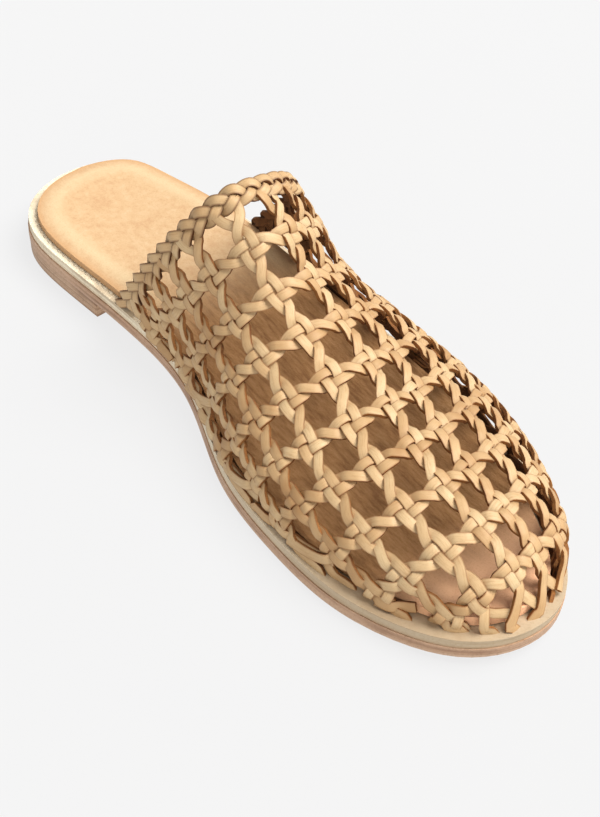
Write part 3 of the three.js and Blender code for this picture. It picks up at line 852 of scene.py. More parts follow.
@dataclass(frozen=True)
class LayeredLeather:
    """Sole leather whose cut sides show thin layers that follow the sole."""

    name: str
    light: Colour
    middle: Colour
    dark: Colour
    foot: Colour
    foot_height: float
    layer_scale: float
    gloss: float
    # Share by which the leather grows darker towards the toe, over darken_run in millimetres
    darkened: float = 0.0
    darken_run: Span = (0.0, 80.0)
    foot_fade: float = 0.4
    foot_share: float = 0.8
    level_scale: float = 22.0
    layer_share: float = 0.65
    layer_range: Span = (0.3, 0.7)
    gloss_loss: float = 0.2
    layer_relief: Relief = (0.3, 0.0005)
    cloud_scale: float = 45.0
    stops: Triple = (0.34, 0.5, 0.66)
    grain_scale: float = 1100.0
    grain_shade: Grade = (0.48, 0.72, 0.0, 0.4)
    grain_relief: Relief = (0.3, 0.00015)

    def make(self) -> Material:
        """Build the material for one layer of the sole.

        Returns:
            The material.
        """
        shader = Shader(self.name)
        spot = shader.place()
        side = shader.attribute("layered")
        scale = (self.level_scale, self.level_scale, self.layer_scale)
        layers = shader.noise(shader.stretch(side, scale), detail=5.0, rough=0.62, twist=0.25)
        clouds = shader.noise(spot, self.cloud_scale, detail=3.0)
        grain = shader.noise(spot, self.grain_scale, rough=0.6)
        level = shader.weigh(layers, clouds, self.layer_share)
        base = shader.ramp(level, self.stops, (self.dark, self.middle, self.light))
        top = self.foot_height * MM
        low = shader.grade(shader.split(side, "Z"), self.foot_fade * top, top, 1.0, 0.0)
        footed = shader.blend(shader.times(low, self.foot_share), base, self.foot)
        # Darker from the middle of the sole towards the toe, up to the share darkened
        start, stop = self.darken_run
        toe = shader.grade(shader.split(side, "X"), start * MM, stop * MM, 0.0, self.darkened)
        darker_tone = shader.blend(toe, footed, self.dark)
        colour = shader.blend(shader.grade(grain, *self.grain_shade), darker_tone, self.dark)
        rough = shader.grade(layers, *self.layer_range, self.gloss, self.gloss + self.gloss_loss)
        relief = shader.bump(grain, *self.grain_relief, shader.bump(layers, *self.layer_relief))
        return shader.finish(colour, rough, relief)


@dataclass(frozen=True)
class Thread:
    """Waxed pale thread."""

    light: Colour = srgb(254, 242, 218)
    dark: Colour = srgb(232, 212, 180)
    twist_scale: float = 1500.0
    stops: Span = (0.35, 0.65)
    dull: Grade = (0.3, 0.7, 0.5, 0.7)
    relief: Relief = (0.4, 0.0002)

    def make(self) -> Material:
        """Build the material for the stitches.

        Returns:
            The material.
        """
        shader = Shader("waxed_thread")
        twist = shader.noise(shader.place(), self.twist_scale, detail=2.0)
        colour = shader.ramp(twist, self.stops, (self.dark, self.light))
        return shader.finish(colour, shader.grade(twist, *self.dull), shader.bump(twist, *self.relief))


def link_mesh(name: str, mesh: Mesh, materials: Sequence[Material]) -> Thing:
    """Turn a finished bmesh into an object at the origin.

    Args:
        name: Name of the object.
        mesh: The geometry in frame metres; it is freed.
        materials: Materials by slot.

    Returns:
        The object.
    """
    data = bpy.data.meshes.new(name)
    mesh.to_mesh(data)
    mesh.free()
    for material in materials:
        data.materials.append(material)
    made = bpy.data.objects.new(name, data)
    bpy.context.collection.objects.link(made)
    return made


def new_piece(name: str, mesh: Mesh, materials: Sequence[Material]) -> Thing:
    """Turn a finished bmesh into a smooth piece that rides on the shoe.

    Args:
        name: Name of the piece.
        mesh: The geometry in frame metres; it is freed.
        materials: Materials by slot.

    Returns:
        The piece.
    """
    for face in mesh.faces:
        face.smooth = True
    piece = link_mesh(name, mesh, materials)
    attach(piece, "root")
    LOG.info("%s: %d faces before its modifiers", name, len(piece.data.polygons))
    return piece


def even_shade(piece: Thing) -> Thing:
    """Let the large faces of a piece set its shading.

    Args:
        piece: Piece with rounded rims.

    Returns:
        The same piece.
    """
    shade = piece.modifiers.new("even_shade", "WEIGHTED_NORMAL")
    shade.weight = FULL_WEIGHT
    return piece


@dataclass
class Sole:
    """Outsole, midsole and heel block, with the stitches along the heel's ledge."""

    foot: Footprint
    across: int = 26
    lengthwise: int = 84
    hub_y: float = 2.0
    rim_angle: float = 1.0
    round_edge: float = 0.45
    round_steps: int = 3
    midsole_inset: float = 0.4
    midsole_round: float = 0.5
    seam: float = 0.06
    seam_round: float = 0.12
    heel_inset: float = 0.2
    heel_taper: float = 0.3
    heel_points: int = 120
    heel_side_share: float = 0.36
    breast_hollow: float = 3.0
    stitch_pitch: float = 3.3
    stitch_length: float = 2.8
    stitch_width: float = 1.7
    stitch_height: float = 0.9
    stitch_gap: float = 0.45
    stitch_ends: Span = (73.0, 63.0)
    stitch_samples: int = 800
    stitch_ahead: float = 0.5
    stitch_facets: int = 2

    def sheet(self, inset: Inset) -> tuple[Mesh, Array]:
        """Flat sheet with the sole's outline, started from a grid.

        Args:
            inset: How far its edge lies inside the sole's.

        Returns:
            The bmesh and its points in plan, in the order of its vertices.
        """
        mesh = bmesh.new()
        bmesh.ops.create_grid(mesh, x_segments=self.lengthwise, y_segments=self.across, size=1.0)
        flat = np.array([vert.co[:2] for vert in mesh.verts])
        p = flat[:, 0] * np.sqrt(1 - flat[:, 1] ** 2 / 2)
        q = flat[:, 1] * np.sqrt(1 - flat[:, 0] ** 2 / 2)
        reach = np.hypot(p, q)
        turn = np.arccos(np.clip(-p / np.maximum(reach, 1e-9), -1, 1))
        rim = self.foot.outline(turn, np.where(q >= 0, 1.0, -1.0), inset)
        hub = np.array([self.foot.length / 2, self.hub_y])
        return mesh, hub + (rim - hub) * reach[:, None]

    @staticmethod
    def thicken(mesh: Mesh) -> list[bmesh.types.BMVert]:
        """Close a sheet into a block that has no height yet.

        Args:
            mesh: The sheet.

        Returns:
            The points of its second face.
        """
        grown = bmesh.ops.extrude_face_region(mesh, geom=list(mesh.faces), use_keep_orig=True)
        return [item for item in grown["geom"] if isinstance(item, bmesh.types.BMVert)]

    def round_rims(self, mesh: Mesh, lower: Sequence[bmesh.types.BMVert], low_round: float,
                   high_round: float, steps: int) -> None:
        """Round the lower and the upper rim of a block.

        Args:
            mesh: The block.
            lower: Points of its underside.
            low_round: Radius of the lower rim.
            high_round: Radius of the upper rim.
            steps: Steps in each rounding.
        """
        bmesh.ops.recalc_face_normals(mesh, faces=mesh.faces)
        level = set(lower)
        rims = [edge for edge in mesh.edges if edge.calc_face_angle(0.0) > self.rim_angle]
        for radius, below in ((low_round, True), (high_round, False)):
            edges = [e for e in rims if e.is_valid and all((v in level) == below for v in e.verts)]
            bmesh.ops.bevel(mesh, geom=edges, offset=radius * MM, segments=steps, profile=0.5,
                            affect="EDGES", material=-1, clamp_overlap=True)

    def slab(self, inset: Inset, low: Height, high: Height, low_round: float, high_round: float,
             steps: int) -> Mesh:
        """Layer of the sole with rounded edges.

        Args:
            inset: How far its side lies inside the sole's edge.
            low: Height of its underside along the sole.
            high: Height of its top along the sole.
            low_round: Radius of the lower edge.
            high_round: Radius of the upper edge.
            steps: Steps in each rounding.

        Returns:
            The layer in frame metres.
        """
        mesh, plan = self.sheet(inset)
        for vert, (x, y), z in zip(mesh.verts, plan, high(plan[:, 0])):
            vert.co = Vector(self.foot.place(np.array([x, y, z])))
        lower = self.thicken(mesh)
        for vert in lower:
            x = vert.co.x / MM - self.foot.shift[0]
            vert.co.z = float(low(np.array(x))) * MM
        self.round_rims(mesh, lower, low_round, high_round, steps)
        return mesh

    def mark_layers(self, mesh: Mesh, base: Height) -> None:
        """Give each point its place in plan and its height over a base.

        Args:
            mesh: The layer.
            base: Height of the base along the sole.
        """
        layer = mesh.verts.layers.float_vector.new("layered")
        x = np.array([vert.co.x for vert in mesh.verts]) / MM - self.foot.shift[0]
        for vert, low in zip(mesh.verts, base(x) * MM):
            vert[layer] = Vector((vert.co.x, vert.co.y, vert.co.z - low))

    def build_outsole(self) -> Thing:
        """Brown sole leather with a paler, rubbed lower edge.

        Returns:
            The outsole.
        """
        foot = self.foot
        mesh = self.slab(lambda x, s: np.zeros_like(x), foot.underside,
                         lambda x: foot.underside(x) + foot.outsole - self.seam, self.round_edge,
                         self.seam_round, self.round_steps)
        self.mark_layers(mesh, foot.underside)
        finish = LayeredLeather("outsole_leather", light=srgb(252, 218, 186), middle=srgb(230, 190, 156),
                                dark=srgb(162, 118, 86), foot=srgb(240, 204, 174), foot_height=1.5,
                                layer_scale=900.0, gloss=0.45)
        piece = even_shade(new_piece("outsole_dressed", mesh, [finish.make()]))
        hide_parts("outsole")
        return piece

    def build_midsole(self) -> Thing:
        """Pale natural leather that shows as a ledge.

        Returns:
            The midsole.
        """
        foot = self.foot
        mesh = self.slab(lambda x, s: np.full_like(x, self.midsole_inset),
                         lambda x: foot.underside(x) + foot.outsole,
                         lambda x: foot.underside(x) + foot.ledge, self.seam_round,
                         self.midsole_round, self.round_steps)
        self.mark_layers(mesh, foot.underside)
        # Its leather grows darker from the middle of the sole towards the toe
        finish = LayeredLeather("natural_leather", light=srgb(286, 276, 250), middle=srgb(278, 264, 234),
                                dark=srgb(206, 178, 142), foot=srgb(248, 206, 160), foot_height=5.4,
                                layer_scale=700.0, gloss=0.6, darkened=0.7)
        piece = even_shade(new_piece("midsole_dressed", mesh, [finish.make()]))
        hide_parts("midsole")
        return piece

    def heel_ring(self, inset: float) -> Array:
        """Plan of the heel block at one height.

        Args:
            inset: How far its side lies inside the sole's edge.

        Returns:
            Points of a full turn: outer side, hollow breast, inner side.
        """
        end = float(self.foot.turn_at(np.array(self.foot.heel_breast)))
        half = int(self.heel_points * self.heel_side_share)
        turn = np.linspace(0, end, half + 1)
        lateral = self.foot.outline(turn, np.ones_like(turn), lambda x, s: np.full_like(x, inset))
        back = turn[1:]
        medial = self.foot.outline(back, -np.ones_like(back), lambda x, s: np.full_like(x, inset))[::-1]
        share = np.linspace(0, 1, self.heel_points - 2 * half + 1)[1:-1, None]
        front = lateral[-1] * (1 - share) + medial[0] * share
        front[:, 0] -= self.breast_hollow * np.sin(np.pi * share[:, 0])
        return np.concatenate([lateral, front, medial])

    def build_heel(self) -> Thing:
        """Low heel block of stacked leather.

        Returns:
            The heel.
        """
        foot = self.foot
        low = self.heel_ring(self.heel_inset + self.heel_taper)
        high = self.heel_ring(self.heel_inset)
        top = foot.heel_height - self.seam
        mesh = bmesh.new()
        bmesh.ops.create_circle(mesh, cap_ends=True, segments=len(low), radius=1.0)
        lower = list(mesh.verts)
        raised_to = {}
        for vert, (x, y), above in zip(lower, low, high):
            vert.co = Vector(foot.place(np.array([x, y, 0.0])))
            raised_to[vert.co.copy().freeze()] = Vector(foot.place(np.array([*above, top])))
        for vert in self.thicken(mesh):
            vert.co = raised_to[vert.co.copy().freeze()]
        self.round_rims(mesh, lower, self.round_edge, self.seam_round, self.round_steps)
        self.mark_layers(mesh, np.zeros_like)
        finish = LayeredLeather("stacked_leather", light=srgb(248, 218, 188), middle=srgb(222, 184, 150),
                                dark=srgb(152, 110, 80), foot=srgb(166, 126, 98), foot_height=1.0,
                                layer_scale=1300.0, gloss=0.45)
        piece = even_shade(new_piece("heel_dressed", mesh, [finish.make()]))
        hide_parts("heel")
        return piece

    def build_stitches(self, edge: Inset) -> Thing:
        """Row of stitches on the ledge, round the heel from collar foot to collar foot.

        Args:
            edge: How far the insole's edge lies inside the sole's.

        Returns:
            The stitches.
        """
        foot = self.foot
        first, last = (float(foot.turn_at(np.array(x))) for x in self.stitch_ends)
        fine = np.linspace(-first, last, self.stitch_samples)
        sign = np.where(fine < 0, -1.0, 1.0)
        path = foot.outline(np.abs(fine), sign, lambda x, s: edge(x, s) - self.stitch_gap)
        run = run_of(path)

        def spot(place: float) -> Array:
            """Point of the row in plan."""
            return np.array([np.interp(place, run, path[:, k]) for k in range(2)])

        mesh = bmesh.new()
        size = Vector((self.stitch_length, self.stitch_width, self.stitch_height)) * MM
        shape = Matrix.Diagonal((*size, 1.0))
        margin = self.stitch_pitch / 2
        for place in np.linspace(margin, run[-1] - margin, int(run[-1] / self.stitch_pitch)):
            x, y = spot(place)
            ahead = spot(place + self.stitch_ahead)
            z = float(foot.underside(np.array(x))) + foot.ledge
            turn = Matrix.Rotation(math.atan2(ahead[1] - y, ahead[0] - x), 4, "Z")
            seat = Matrix.Translation(Vector(foot.place(np.array([x, y, z]))))
            made = bmesh.ops.create_icosphere(mesh, subdivisions=self.stitch_facets, radius=1 / 2)
            bmesh.ops.transform(mesh, matrix=seat @ turn @ shape, verts=made["verts"])
        piece = new_piece("ledge_stitches", mesh, [Thread().make()])
        return piece


@dataclass
class Insole:
    """Padded sock with a rolled edge, a cupped heel and a domed toe end."""

    foot: Footprint
    thick: float = 3.0
    roll: float = 2.25
    roll_steps: int = 6
    crown: float = 0.5
    crown_reach: float = 3.5
    cup_depth: float = 0.45
    cup_x: float = 36.0
    cup_run: float = 22.0
    cup_half: float = 17.0
    ridge: float = 0.25
    ridge_in: float = 6.5
    ridge_half: float = 3.0
    rim_shade_reach: float = 1.7
    toe_dome: float = 1.6
    dome_run: Span = (226.0, 250.0)
    painted_shade_from: Span = (76.0, 108.0)
    painted_shade_to: Span = (226.0, 242.0)
    # Painted light on the toe end rises over this span
    toe_run: Span = (218.0, 244.0)
    top_share: float = 0.5
    rim_samples: int = 300

    def inset(self) -> Inset:
        """Distance of its edge inside the sole's edge, from the table.

        Returns:
            The distance for a place and a side.
        """
        xs, medial, lateral = columns(INSOLE_ROWS)
        inner = KeepShape(xs, medial)
        outer = KeepShape(xs, lateral)
        return lambda x, sign: np.where(sign > 0, outer(x), inner(x))

    def build(self, sole: Sole) -> Thing:
        """Make the pad from a sheet with the sole's outline.

        Args:
            sole: Supplies the sheet.

        Returns:
            The insole.
        """
        foot = self.foot

        def base(x: Array) -> Array:
            """Height of the pad's underside along the sole."""
            return foot.underside(x) + foot.ledge + foot.gap

        mesh = sole.slab(self.inset(), base, lambda x: base(x) + self.thick - self.crown, sole.seam_round,
                         self.roll, self.roll_steps)
        spots = np.array([vert.co for vert in mesh.verts]) / MM - foot.shift
        turn = np.linspace(0, math.pi, self.rim_samples)
        rim = np.concatenate([foot.outline(turn, np.full_like(turn, s.value), self.inset()) for s in Side])
        inward = np.linalg.norm(spots[:, None, :2] - rim[None], axis=2).min(axis=1)
        x = spots[:, 0]
        cup = np.exp(-(((x - self.cup_x) / self.cup_run) ** 2 + (spots[:, 1] / self.cup_half) ** 2))
        swell = self.crown * (1 - np.exp(-((inward / self.crown_reach) ** 2)))
        # Raised ridge inside the edge; the same share places the painted highlight band
        ridge = np.exp(-(((inward - self.ridge_in) / self.ridge_half) ** 2))
        dome = self.toe_dome * np.interp(x, self.dome_run, (0.0, 1.0))
        over = swell + self.ridge * ridge - self.cup_depth * cup + dome
        rise = np.where(spots[:, 2] - base(x) > self.top_share * self.thick, over, 0.0)
        # Painted shade: share of the darker rim colour near the edge
        painted_rim_shade = np.exp(-((inward / self.rim_shade_reach) ** 2))
        # Painted shade: share of the darker tones under the net, from behind the collar to near the toe
        darkened = np.interp(x, self.painted_shade_from, (0.0, 1.0)) * np.interp(x, self.painted_shade_to, (1.0, 0.0))
        # Painted light: share of the bright toe colour towards the toe end
        painted_toe_light = np.interp(x, self.toe_run, (0.0, 1.0))
        # Zones: painted shade on the rim, painted shade under the net, and the ridge that carries the
        # painted highlight
        zones = mesh.verts.layers.float_vector.new("zones")
        toe_end = mesh.verts.layers.float.new("toe_end")
        for vert, up, zone, toe in zip(mesh.verts, rise, np.stack([painted_rim_shade, darkened, ridge], -1), painted_toe_light):
            vert.co.z += float(up) * MM
            vert[zones] = Vector(zone)
            vert[toe_end] = float(toe)
        piece = even_shade(new_piece("insole_padded", mesh, [Suede().make()]))
        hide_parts("insole")
        return piece


@dataclass
class Net:
    """Strips woven in pairs over the last, and the plait along the collar."""

    last: Last
    seed: int = 7
    first_row: float = 22.0
    row_pitch: float = 15.9
    wider_from: float = 3.0
    wider_by: float = 0.72
    row_count: int = 9
    row_span: Span = (-8.0, 8.0)
    column_reach: int = 6
    column_span: Span = (-0.2, 11.0)
    pair: float = 0.13
    pair_square: float = 1.4
    splay: float = 0.75
    width: float = 3.05
    thick: float = 1.2
    tints: Span = (0.2, 0.8)
    weave: float = 0.72
    weave_square: float = 2.2
    bow: float = 0.22
    step: float = 0.07
    shortest: int = 5
    across: int = 4
    eased: float = 0.3
    eased_from: float = 50.0
    eased_steps: int = 2
    wander: float = 0.22
    wander_pace: float = 1.9
    uneven: float = 0.05
    uneven_run: float = 11.0
    twist: float = 5.0
    twist_run: float = 7.0
    grain_reach: float = 200.0
    crossing_room: float = 2.4
    hold: float = 0.5
    leg_room: float = 0.45
    leg_splay: float = 0.64
    leg_slope: float = 0.85
    overrun: float = 3.0
    rim_half: float = 1.2
    foot_reach: float = 9.0
    foot_share: float = -0.45
    foot_lean: float = 0.6
    overrun_ends: Span = (0.45, 0.62)
    collar_width: float = 9.0
    collar_tuck: float = 5.2
    collar_ahead: float = 1.0
    plait_strands: int = 3
    plait_width: float = 3.3
    plait_tints: Span = (0.35, 0.6)
    plait_period: float = 21.0
    plait_reach: float = 2.5
    plait_rise: float = 1.1
    plait_turn: float = 12.0
    plait_step: float = 0.8
    plait_points: int = 1600
    sink: float = 0.6
    root_gap: float = 2.0
    root_drop: float = 1.8
    root_run: float = 2.0

    def __post_init__(self) -> None:
        """Fit the lattice's curves and make the finish of the strips' backs."""
        along, drift, pitch = columns(COLUMN_ROWS)
        self.drift = KeepShape(along, drift)
        self.pitch = KeepShape(along, pitch)
        self.place = KeepShape(*columns(COLUMN_PLACES))
        self.row_bow = KeepShape(*columns(ROW_BOW))
        self.bow_share = KeepShape(*columns(BOW_SHARES))
        self.dice = np.random.default_rng(self.seed)
        self.back = FLESH_SIDE.make()

    @property
    def middle(self) -> float:
        """Depth of the weave's mid layer below the crowns of the strips."""
        return self.weave + self.thick / 2

    @staticmethod
    def square(angle: Array, hardness: float) -> Array:
        """Cosine with flattened tops."""
        return np.tanh(hardness * np.cos(angle)) / math.tanh(hardness)

    def distance(self, row: Array, col: Array) -> Array:
        """Distance of places in the lattice from the collar, along the crest.

        Args:
            row: Numbers of the rows, with parts between them.
            col: Numbers of the columns, likewise.

        Returns:
            The distances.
        """
        wider = self.wider_by * np.maximum(0, row - self.wider_from)
        middle = self.first_row + self.row_pitch * (row - 1) + wider
        return middle - self.bow_share(row) * self.row_bow(np.abs(col))

    def spot(self, row: Array, col: Array) -> tuple[Array, Array]:
        """Section and girth of places in the lattice."""
        along = self.last.along_at(self.distance(row, col))
        return along, self.drift(along) + self.place(col) * self.pitch(along)

    def crossed(self, course: Course, index: int, low: float, high: float) -> Array:
        """Numbers of the pairs that a strip crosses on one stretch, clear of the ledge.

        Args:
            course: Row or column.
            index: Number of its pair.
            low: Start of the stretch.
            high: End of the stretch.

        Returns:
            The numbers, rising.
        """
        if course is Course.ROW:
            numbers = np.arange(-self.column_reach, self.column_reach + 1)
            room = self.foot_gap(*self.spot(np.full(len(numbers), float(index)), numbers))
        else:
            numbers = np.arange(1, self.row_count + 1)
            room = self.foot_gap(*self.spot(numbers.astype(float), np.full(len(numbers), index)))
        return numbers[(room > self.crossing_room) & (numbers > low) & (numbers < high)]

    def swing(self, place: Array, first: float, last: float) -> Array:
        """Sideways swing of a pair's first strip; past its last crossing it swaps sides and splays.

        Args:
            place: Places along one stretch, from ledge to ledge.
            first: Its first crossing.
            last: Its last crossing.

        Returns:
            Swings as shares of the pitch.
        """
        held = np.clip(place, first, last)
        swing = self.pair * self.square(np.pi * held, self.pair_square)
        for crossing, end in ((first, place[0]), (last, place[-1])):
            room = abs(end - crossing)
            beyond = np.clip((place - crossing) * np.sign(end - crossing), 0, None)
            if room > self.leg_room:
                splay = min(self.leg_splay, self.leg_slope * room)
                turn = math.cos(math.pi * crossing) * (self.pair + splay)
                swing = swing - np.where(beyond > 0, turn * (beyond / room) ** 2, 0.0)
        return swing

    def heights(self, place: Array, first: float) -> Array:
        """Rise and fall of a strip over the ones that it crosses.

        Args:
            place: Places along the strip, whole at the crossings of two pairs.
            first: 1 or -1, over or under just before crossing 0.

        Returns:
            Heights over the weave's mid layer.
        """
        low = math.floor(float(place.min())) - 1
        high = math.ceil(float(place.max())) + 1
        parts = (-self.pair, self.pair, 0.5)
        stops = np.array([k + part for k in range(low, high) for part in parts])
        count = np.interp(place, stops, np.arange(len(stops)) + len(parts) * low)
        return first * self.weave * self.square(np.pi * count, self.weave_square)

    def foot_gap(self, along: Array, girth: Array) -> Array:
        """Distance on the last from places to the ledge."""
        ahead = self.last.crest[-1] - np.interp(along, self.last.along, self.last.crest)
        return np.minimum(self.last.half_girth(along, girth) - np.abs(girth), ahead)

    def depth(self, gap: Array) -> Array:
        """Depth of the weave's mid layer below the crowns; the strips spread outward at the ledge."""
        share = smooth(np.clip(gap / self.foot_reach, 0, 1))
        return self.middle * (self.foot_share + (1 - self.foot_share) * share)

    def paths(self, course: Course, index: int, sign: int) -> list[StripLine]:
        """Lines of one strip on the last, from edge to edge.

        Args:
            course: Row or column.
            index: Number of its pair.
            sign: Which strip of the pair.

        Returns:
            Sections, girths and heights of each stretch that lies on the last.
        """
        is_row = course is Course.ROW
        low, high = self.row_span if is_row else self.column_span
        place = np.arange(low, high, self.step)
        level = np.full(len(place), float(index))
        row, col = (level, place) if is_row else (place, level)
        along, girth = self.spot(row, col)
        past = 0.0 if is_row else self.overrun * np.interp(along, self.overrun_ends, (1.0, 0.0))
        rim = 0.0 if is_row else self.rim_half
        distance = self.distance(row, col)
        inside = (distance > self.collar_tuck) & (distance < self.last.crest[-1])
        inside &= np.abs(girth) < self.last.half_girth(along, girth) + past
        flips = np.flatnonzero(np.diff(np.concatenate([[0], inside.astype(int), [0]])))
        wave = self.dice.uniform(0, 2 * math.pi)
        lines = []
        for start, stop in zip(flips[::2], flips[1::2]):
            run = place[max(start - 1, 0):stop + 1]
            numbers = self.crossed(course, index, run[0], run[-1])
            if not len(numbers) or stop - start < self.shortest:
                continue
            first, last = (numbers[0] if is_row else run[0]), numbers[-1]
            swing = sign * self.swing(run, first, last)
            if is_row:
                along, girth = self.spot(index + swing, run)
            else:
                along, girth = self.spot(run, index + swing * (1 + self.splay * np.clip(1 - run, 0, 1)))
            girth = girth + self.wander * np.sin(run * self.wander_pace + wave)
            reach = self.last.half_girth(along, girth) - rim
            held = np.clip(run, first - self.hold, last + self.hold)
            height = self.heights(held, -sign if is_row else sign)
            lines.append((along, np.clip(girth, -reach, reach), height))
        return lines

    def ribbon(self, mesh: Mesh, centre: Array, normal: Array, width: float,
               tint: float) -> None:
        """Lay one flat strip along a line, started from a grid.

        Args:
            mesh: Receives the strip.
            centre: Points of its middle line in the shoe's axes.
            normal: Directions that it faces.
            width: Its width.
            tint: Its shade, 0 to 1.
        """
        steps = len(centre) - 1
        made = bmesh.ops.create_grid(mesh, x_segments=steps, y_segments=self.across, size=1.0)
        ahead = unit(np.gradient(centre, axis=0))
        side = unit(np.cross(normal, ahead))
        face = np.cross(ahead, side)
        run = run_of(centre)
        layer = mesh.verts.layers.float_vector["strip"]
        begin, sway, swell = self.dice.uniform(0, self.grain_reach, 3)
        turn = math.radians(self.twist) * np.sin(run / self.twist_run + sway)[:, None]
        side, face = side * np.cos(turn) + face * np.sin(turn), face * np.cos(turn) - side * np.sin(turn)
        half = width / 2 * (1 + self.uneven * np.sin(run / self.uneven_run + swell))
        for vert in made["verts"]:
            k = round((vert.co.x + 1) / 2 * steps)
            v = float(vert.co.y)
            point = centre[k] + side[k] * v * half[k] - face[k] * self.bow * v * v
            vert.co = Vector(self.last.foot.place(point))
            vert[layer] = Vector(((run[k] + begin) * MM, v * width / 2 * MM, tint))

    def close(self, name: str, mesh: Mesh, face: StripLeather, side: RawLeather) -> Thing:
        """Give the strips of a bmesh their thickness and eased edges.

        Args:
            name: Name of the piece.
            mesh: Strips as sheets.
            face: Finish of their faces.
            side: Finish of their cut sides.

        Returns:
            The piece.
        """
        piece = new_piece(name, mesh, [face.make(), side.make(), self.back])
        wall = piece.modifiers.new("thickness", "SOLIDIFY")
        wall.thickness = self.thick * MM
        wall.offset = 0.0
        wall.use_even_offset = False
        wall.material_offset_rim = 1
        wall.material_offset = 2
        edges = piece.modifiers.new("eased_edges", "BEVEL")
        edges.width = self.eased * MM
        edges.segments = self.eased_steps
        edges.limit_method = "ANGLE"
        edges.angle_limit = math.radians(self.eased_from)
        edges.harden_normals = True
        return piece

    def rooted(self, points: Array, normals: Array, gap: Array,
               along: Array) -> tuple[Array, Array]:
        """Turn the ends that reach the ledge down into it.

        Args:
            points: Middle line of a strip.
            normals: Directions that it faces.
            gap: Distances of its points from the ledge.
            along: Sections of its points.

        Returns:
            The line and its directions, with the buried tips.
        """
        for end, beside in ((0, 1), (-1, -2)):
            if gap[end] > self.root_gap:
                continue
            share = float(np.interp(along[end], self.overrun_ends, (0.0, 1.0)))
            heading = unit(points[end] - points[beside])
            down = np.array([0.0, 0.0, self.sink + share * self.root_drop])
            tip = points[end] + share * self.root_run * heading - down
            if share == 0.0:
                points[end] = tip
                continue
            at = 0 if end == 0 else len(points)
            points = np.insert(points, at, tip, axis=0)
            normals = np.insert(normals, at, normals[end], axis=0)
        return points, normals

    def build_course(self, course: Course) -> Thing:
        """All strips that run in one direction.

        Args:
            course: Row or column.

        Returns:
            The piece.
        """
        mesh = bmesh.new()
        mesh.verts.layers.float_vector.new("strip")
        if course is Course.ROW:
            numbers = range(1, self.row_count + 1)
        else:
            numbers = range(-self.column_reach, self.column_reach + 1)
        for number in numbers:
            for sign in (-1, 1):
                tint = float(self.dice.uniform(*self.tints))
                for along, girth, height in self.paths(course, number, sign):
                    points, normals = self.last.locate(along, girth)
                    gap = self.foot_gap(along, girth)
                    centre = points + normals * (height - self.depth(gap))[:, None]
                    normals[:, 2] += self.foot_lean * np.clip(1 - gap / self.foot_reach, 0, 1)
                    self.ribbon(mesh, *self.rooted(centre, normals, gap, along), self.width, tint)
        return self.close(course.value + "_strips", mesh, StripLeather(self.width / 2), CUT_EDGE)

    def collar_line(self, share: Array, distance: Array) -> StripLine:
        """Line round the collar.

        Args:
            share: Places from the inner foot (-1) over the crest to the outer foot (1).
            distance: Distances from the collar's edge.

        Returns:
            Points, outward normals and directions towards the heel.
        """
        along = self.last.along_at(distance)
        points, normals = self.last.locate(along, share * self.last.half_girth(along, share))
        along = self.last.along_at(distance + self.collar_ahead)
        ahead, _ = self.last.locate(along, share * self.last.half_girth(along, share))
        return points, normals, unit(points - ahead)

    def build_plait(self) -> Thing:
        """Strands plaited flat along the collar.

        Returns:
            The plait.
        """
        share = np.linspace(-1, 1, self.plait_points)
        middle = self.collar_width / 2
        line, _, _ = self.collar_line(share, np.full(len(share), middle))
        run = run_of(line)
        even = np.linspace(0, run[-1], int(run[-1] / self.plait_step) + 1)
        share = np.interp(even, run, share)
        mesh = bmesh.new()
        mesh.verts.layers.float_vector.new("strip")
        for strand in range(self.plait_strands):
            turn = 2 * math.pi * (even / self.plait_period + strand / self.plait_strands)
            line, up, side = self.collar_line(share, middle - self.plait_reach * np.sin(turn))
            rise = -self.plait_rise * np.sin(2 * turn) - self.middle
            lean = math.radians(self.plait_turn) * np.sin(turn)[:, None] ** 3
            face = up * np.cos(lean) + side * np.sin(lean)
            tint = float(self.dice.uniform(*self.plait_tints))
            self.ribbon(mesh, line + up * rise[:, None], face, self.plait_width, tint)
        # Wider, darker rim than the strips': partly the burnished edge, partly painted shade on the
        # strands' sides and in the gaps between them
        leather = StripLeather(self.plait_width / 2, "plait_leather", edge=srgb(124, 78, 40), rim_from=0.55,
                               rim_share=0.85)
        return self.close("collar_plait", mesh, leather, PLAIT_EDGE)

    def build(self) -> list[Thing]:
        """Rows, columns and plait, which together stand for the upper.

        Returns:
            The three pieces.
        """
        made = [self.build_course(Course.ROW), self.build_course(Course.COLUMN), self.build_plait()]
        for piece in made:
            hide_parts("upper")
        return made


@dataclass(frozen=True)
class SoftLight:
    """Broad light from far away, aimed at the shoe; its spread is an angle in degrees."""

    name: str
    place: Triple
    spread: float
    power: float
    colour: Colour

    def build(self) -> Thing:
        """Hang the light.

        Returns:
            The light.
        """
        data = bpy.data.lights.new(self.name, "SUN")
        data.angle = math.radians(self.spread)
        data.energy = self.power
        data.color = self.colour
        light = bpy.data.objects.new(self.name, data)
        place = Vector(self.place)
        turn = (-place).to_track_quat("-Z", "Y").to_matrix().to_4x4()
        light.matrix_world = Matrix.Translation(place) @ turn
        bpy.context.collection.objects.link(light)
        return light


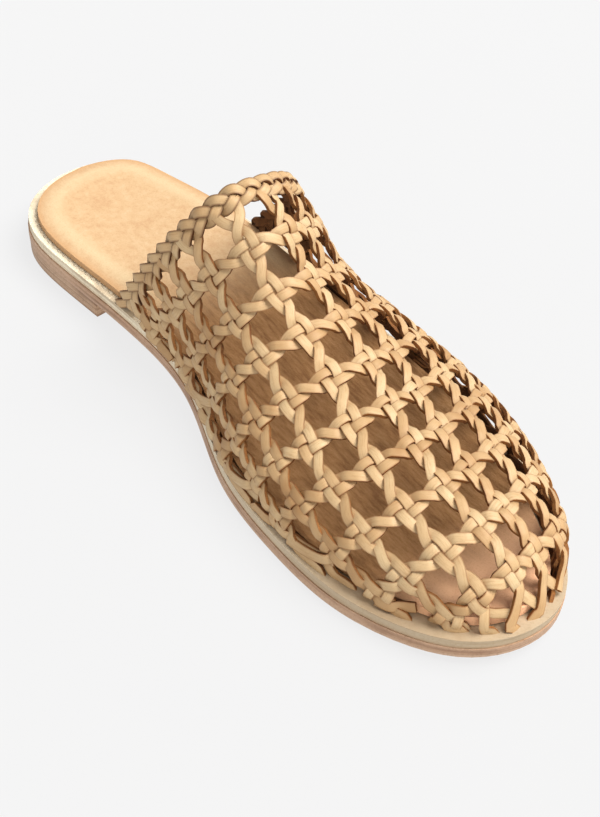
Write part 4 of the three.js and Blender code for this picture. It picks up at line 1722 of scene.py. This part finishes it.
@dataclass
class Studio:
    """Pale floor, soft light and the camera at the photograph's angle."""

    foot: Footprint
    eye: Triple = (379.7, -214.8, 324.2)
    target: Triple = (159.8, -13.2, 22.0)
    roll: float = 6.29
    lens: float = 58.0
    floor_half: float = 6.0
    floor_dull: Colour = (0.05, 0.05, 0.05)
    floor_clear: Colour = (0.052, 0.052, 0.052)
    floor_glow: Colour = (0.8, 0.8, 0.802)
    floor_scale: float = 6.0
    floor_stops: Span = (0.3, 0.7)
    floor_rough: Span = (0.85, 0.95)
    floor_relief: Relief = (0.02, 0.001)
    key: SoftLight = SoftLight("key", (0.3, 0.5, 1.0), 45.0, 4.2, (1.0, 0.985, 0.96))
    fill: SoftLight = SoftLight("fill", (0.8, -0.75, 0.5), 60.0, 1.1, (1.0, 0.97, 0.93))
    world_colour: Colour = (0.95, 0.95, 0.969)
    world_strength: float = 0.55
    gamma: float = 0.88

    def build_camera(self) -> Thing:
        """Camera that looks down on the toe from the inner side.

        Returns:
            The camera.
        """
        data = bpy.data.cameras.new("camera")
        data.lens = self.lens
        camera = bpy.data.objects.new("camera", data)
        eye = Vector(self.foot.place(np.array(self.eye)))
        target = Vector(self.foot.place(np.array(self.target)))
        turn = (target - eye).to_track_quat("-Z", "Y").to_matrix().to_4x4()
        roll = Matrix.Rotation(math.radians(self.roll), 4, "Z")
        camera.matrix_world = Matrix.Translation(eye) @ turn @ roll
        bpy.context.collection.objects.link(camera)
        bpy.context.scene.camera = camera
        return camera

    def build_floor(self) -> Thing:
        """Wide pale floor with a faint mottle.

        Returns:
            The floor.
        """
        mesh = bmesh.new()
        bmesh.ops.create_grid(mesh, x_segments=2, y_segments=2, size=self.floor_half)
        shader = Shader("pale_floor")
        clouds = shader.noise(shader.place(), self.floor_scale, detail=2.0)
        colour = shader.ramp(clouds, self.floor_stops, (self.floor_dull, self.floor_clear))
        rough = shader.grade(clouds, *self.floor_stops, *self.floor_rough)
        shader.set_body(Emission_Color=(*self.floor_glow, 1.0), Emission_Strength=1.0)
        material = shader.finish(colour, rough, shader.bump(clouds, *self.floor_relief))
        floor = link_mesh("floor", mesh, [material])
        return floor

    def build(self) -> None:
        """Set the stage."""
        self.build_camera()
        self.build_floor()
        self.key.build()
        self.fill.build()
        world = bpy.data.worlds.new("studio")
        world.use_nodes = True
        back = world.node_tree.nodes["Background"]
        back.inputs["Color"].default_value = (*self.world_colour, 1.0)
        back.inputs["Strength"].default_value = self.world_strength
        bpy.context.scene.world = world
        view = bpy.context.scene.view_settings
        view.view_transform = "Standard"
        view.gamma = self.gamma


def main() -> None:
    """Load the frame, dress the shoe and set the stage."""
    logging.basicConfig(level=logging.INFO, format="%(name)s %(message)s")
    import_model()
    foot = Footprint()
    sole = Sole(foot)
    insole = Insole(foot)
    pieces = [sole.build_heel(), sole.build_outsole(), sole.build_midsole()]
    pieces.append(sole.build_stitches(insole.inset()))
    pieces.append(insole.build(sole))
    pieces.extend(Net(Last(foot)).build())
    Studio(foot).build()
    for piece in pieces:
        LOG.info("%s is dressed", piece.name)


if __name__ == "__main__":
    main()
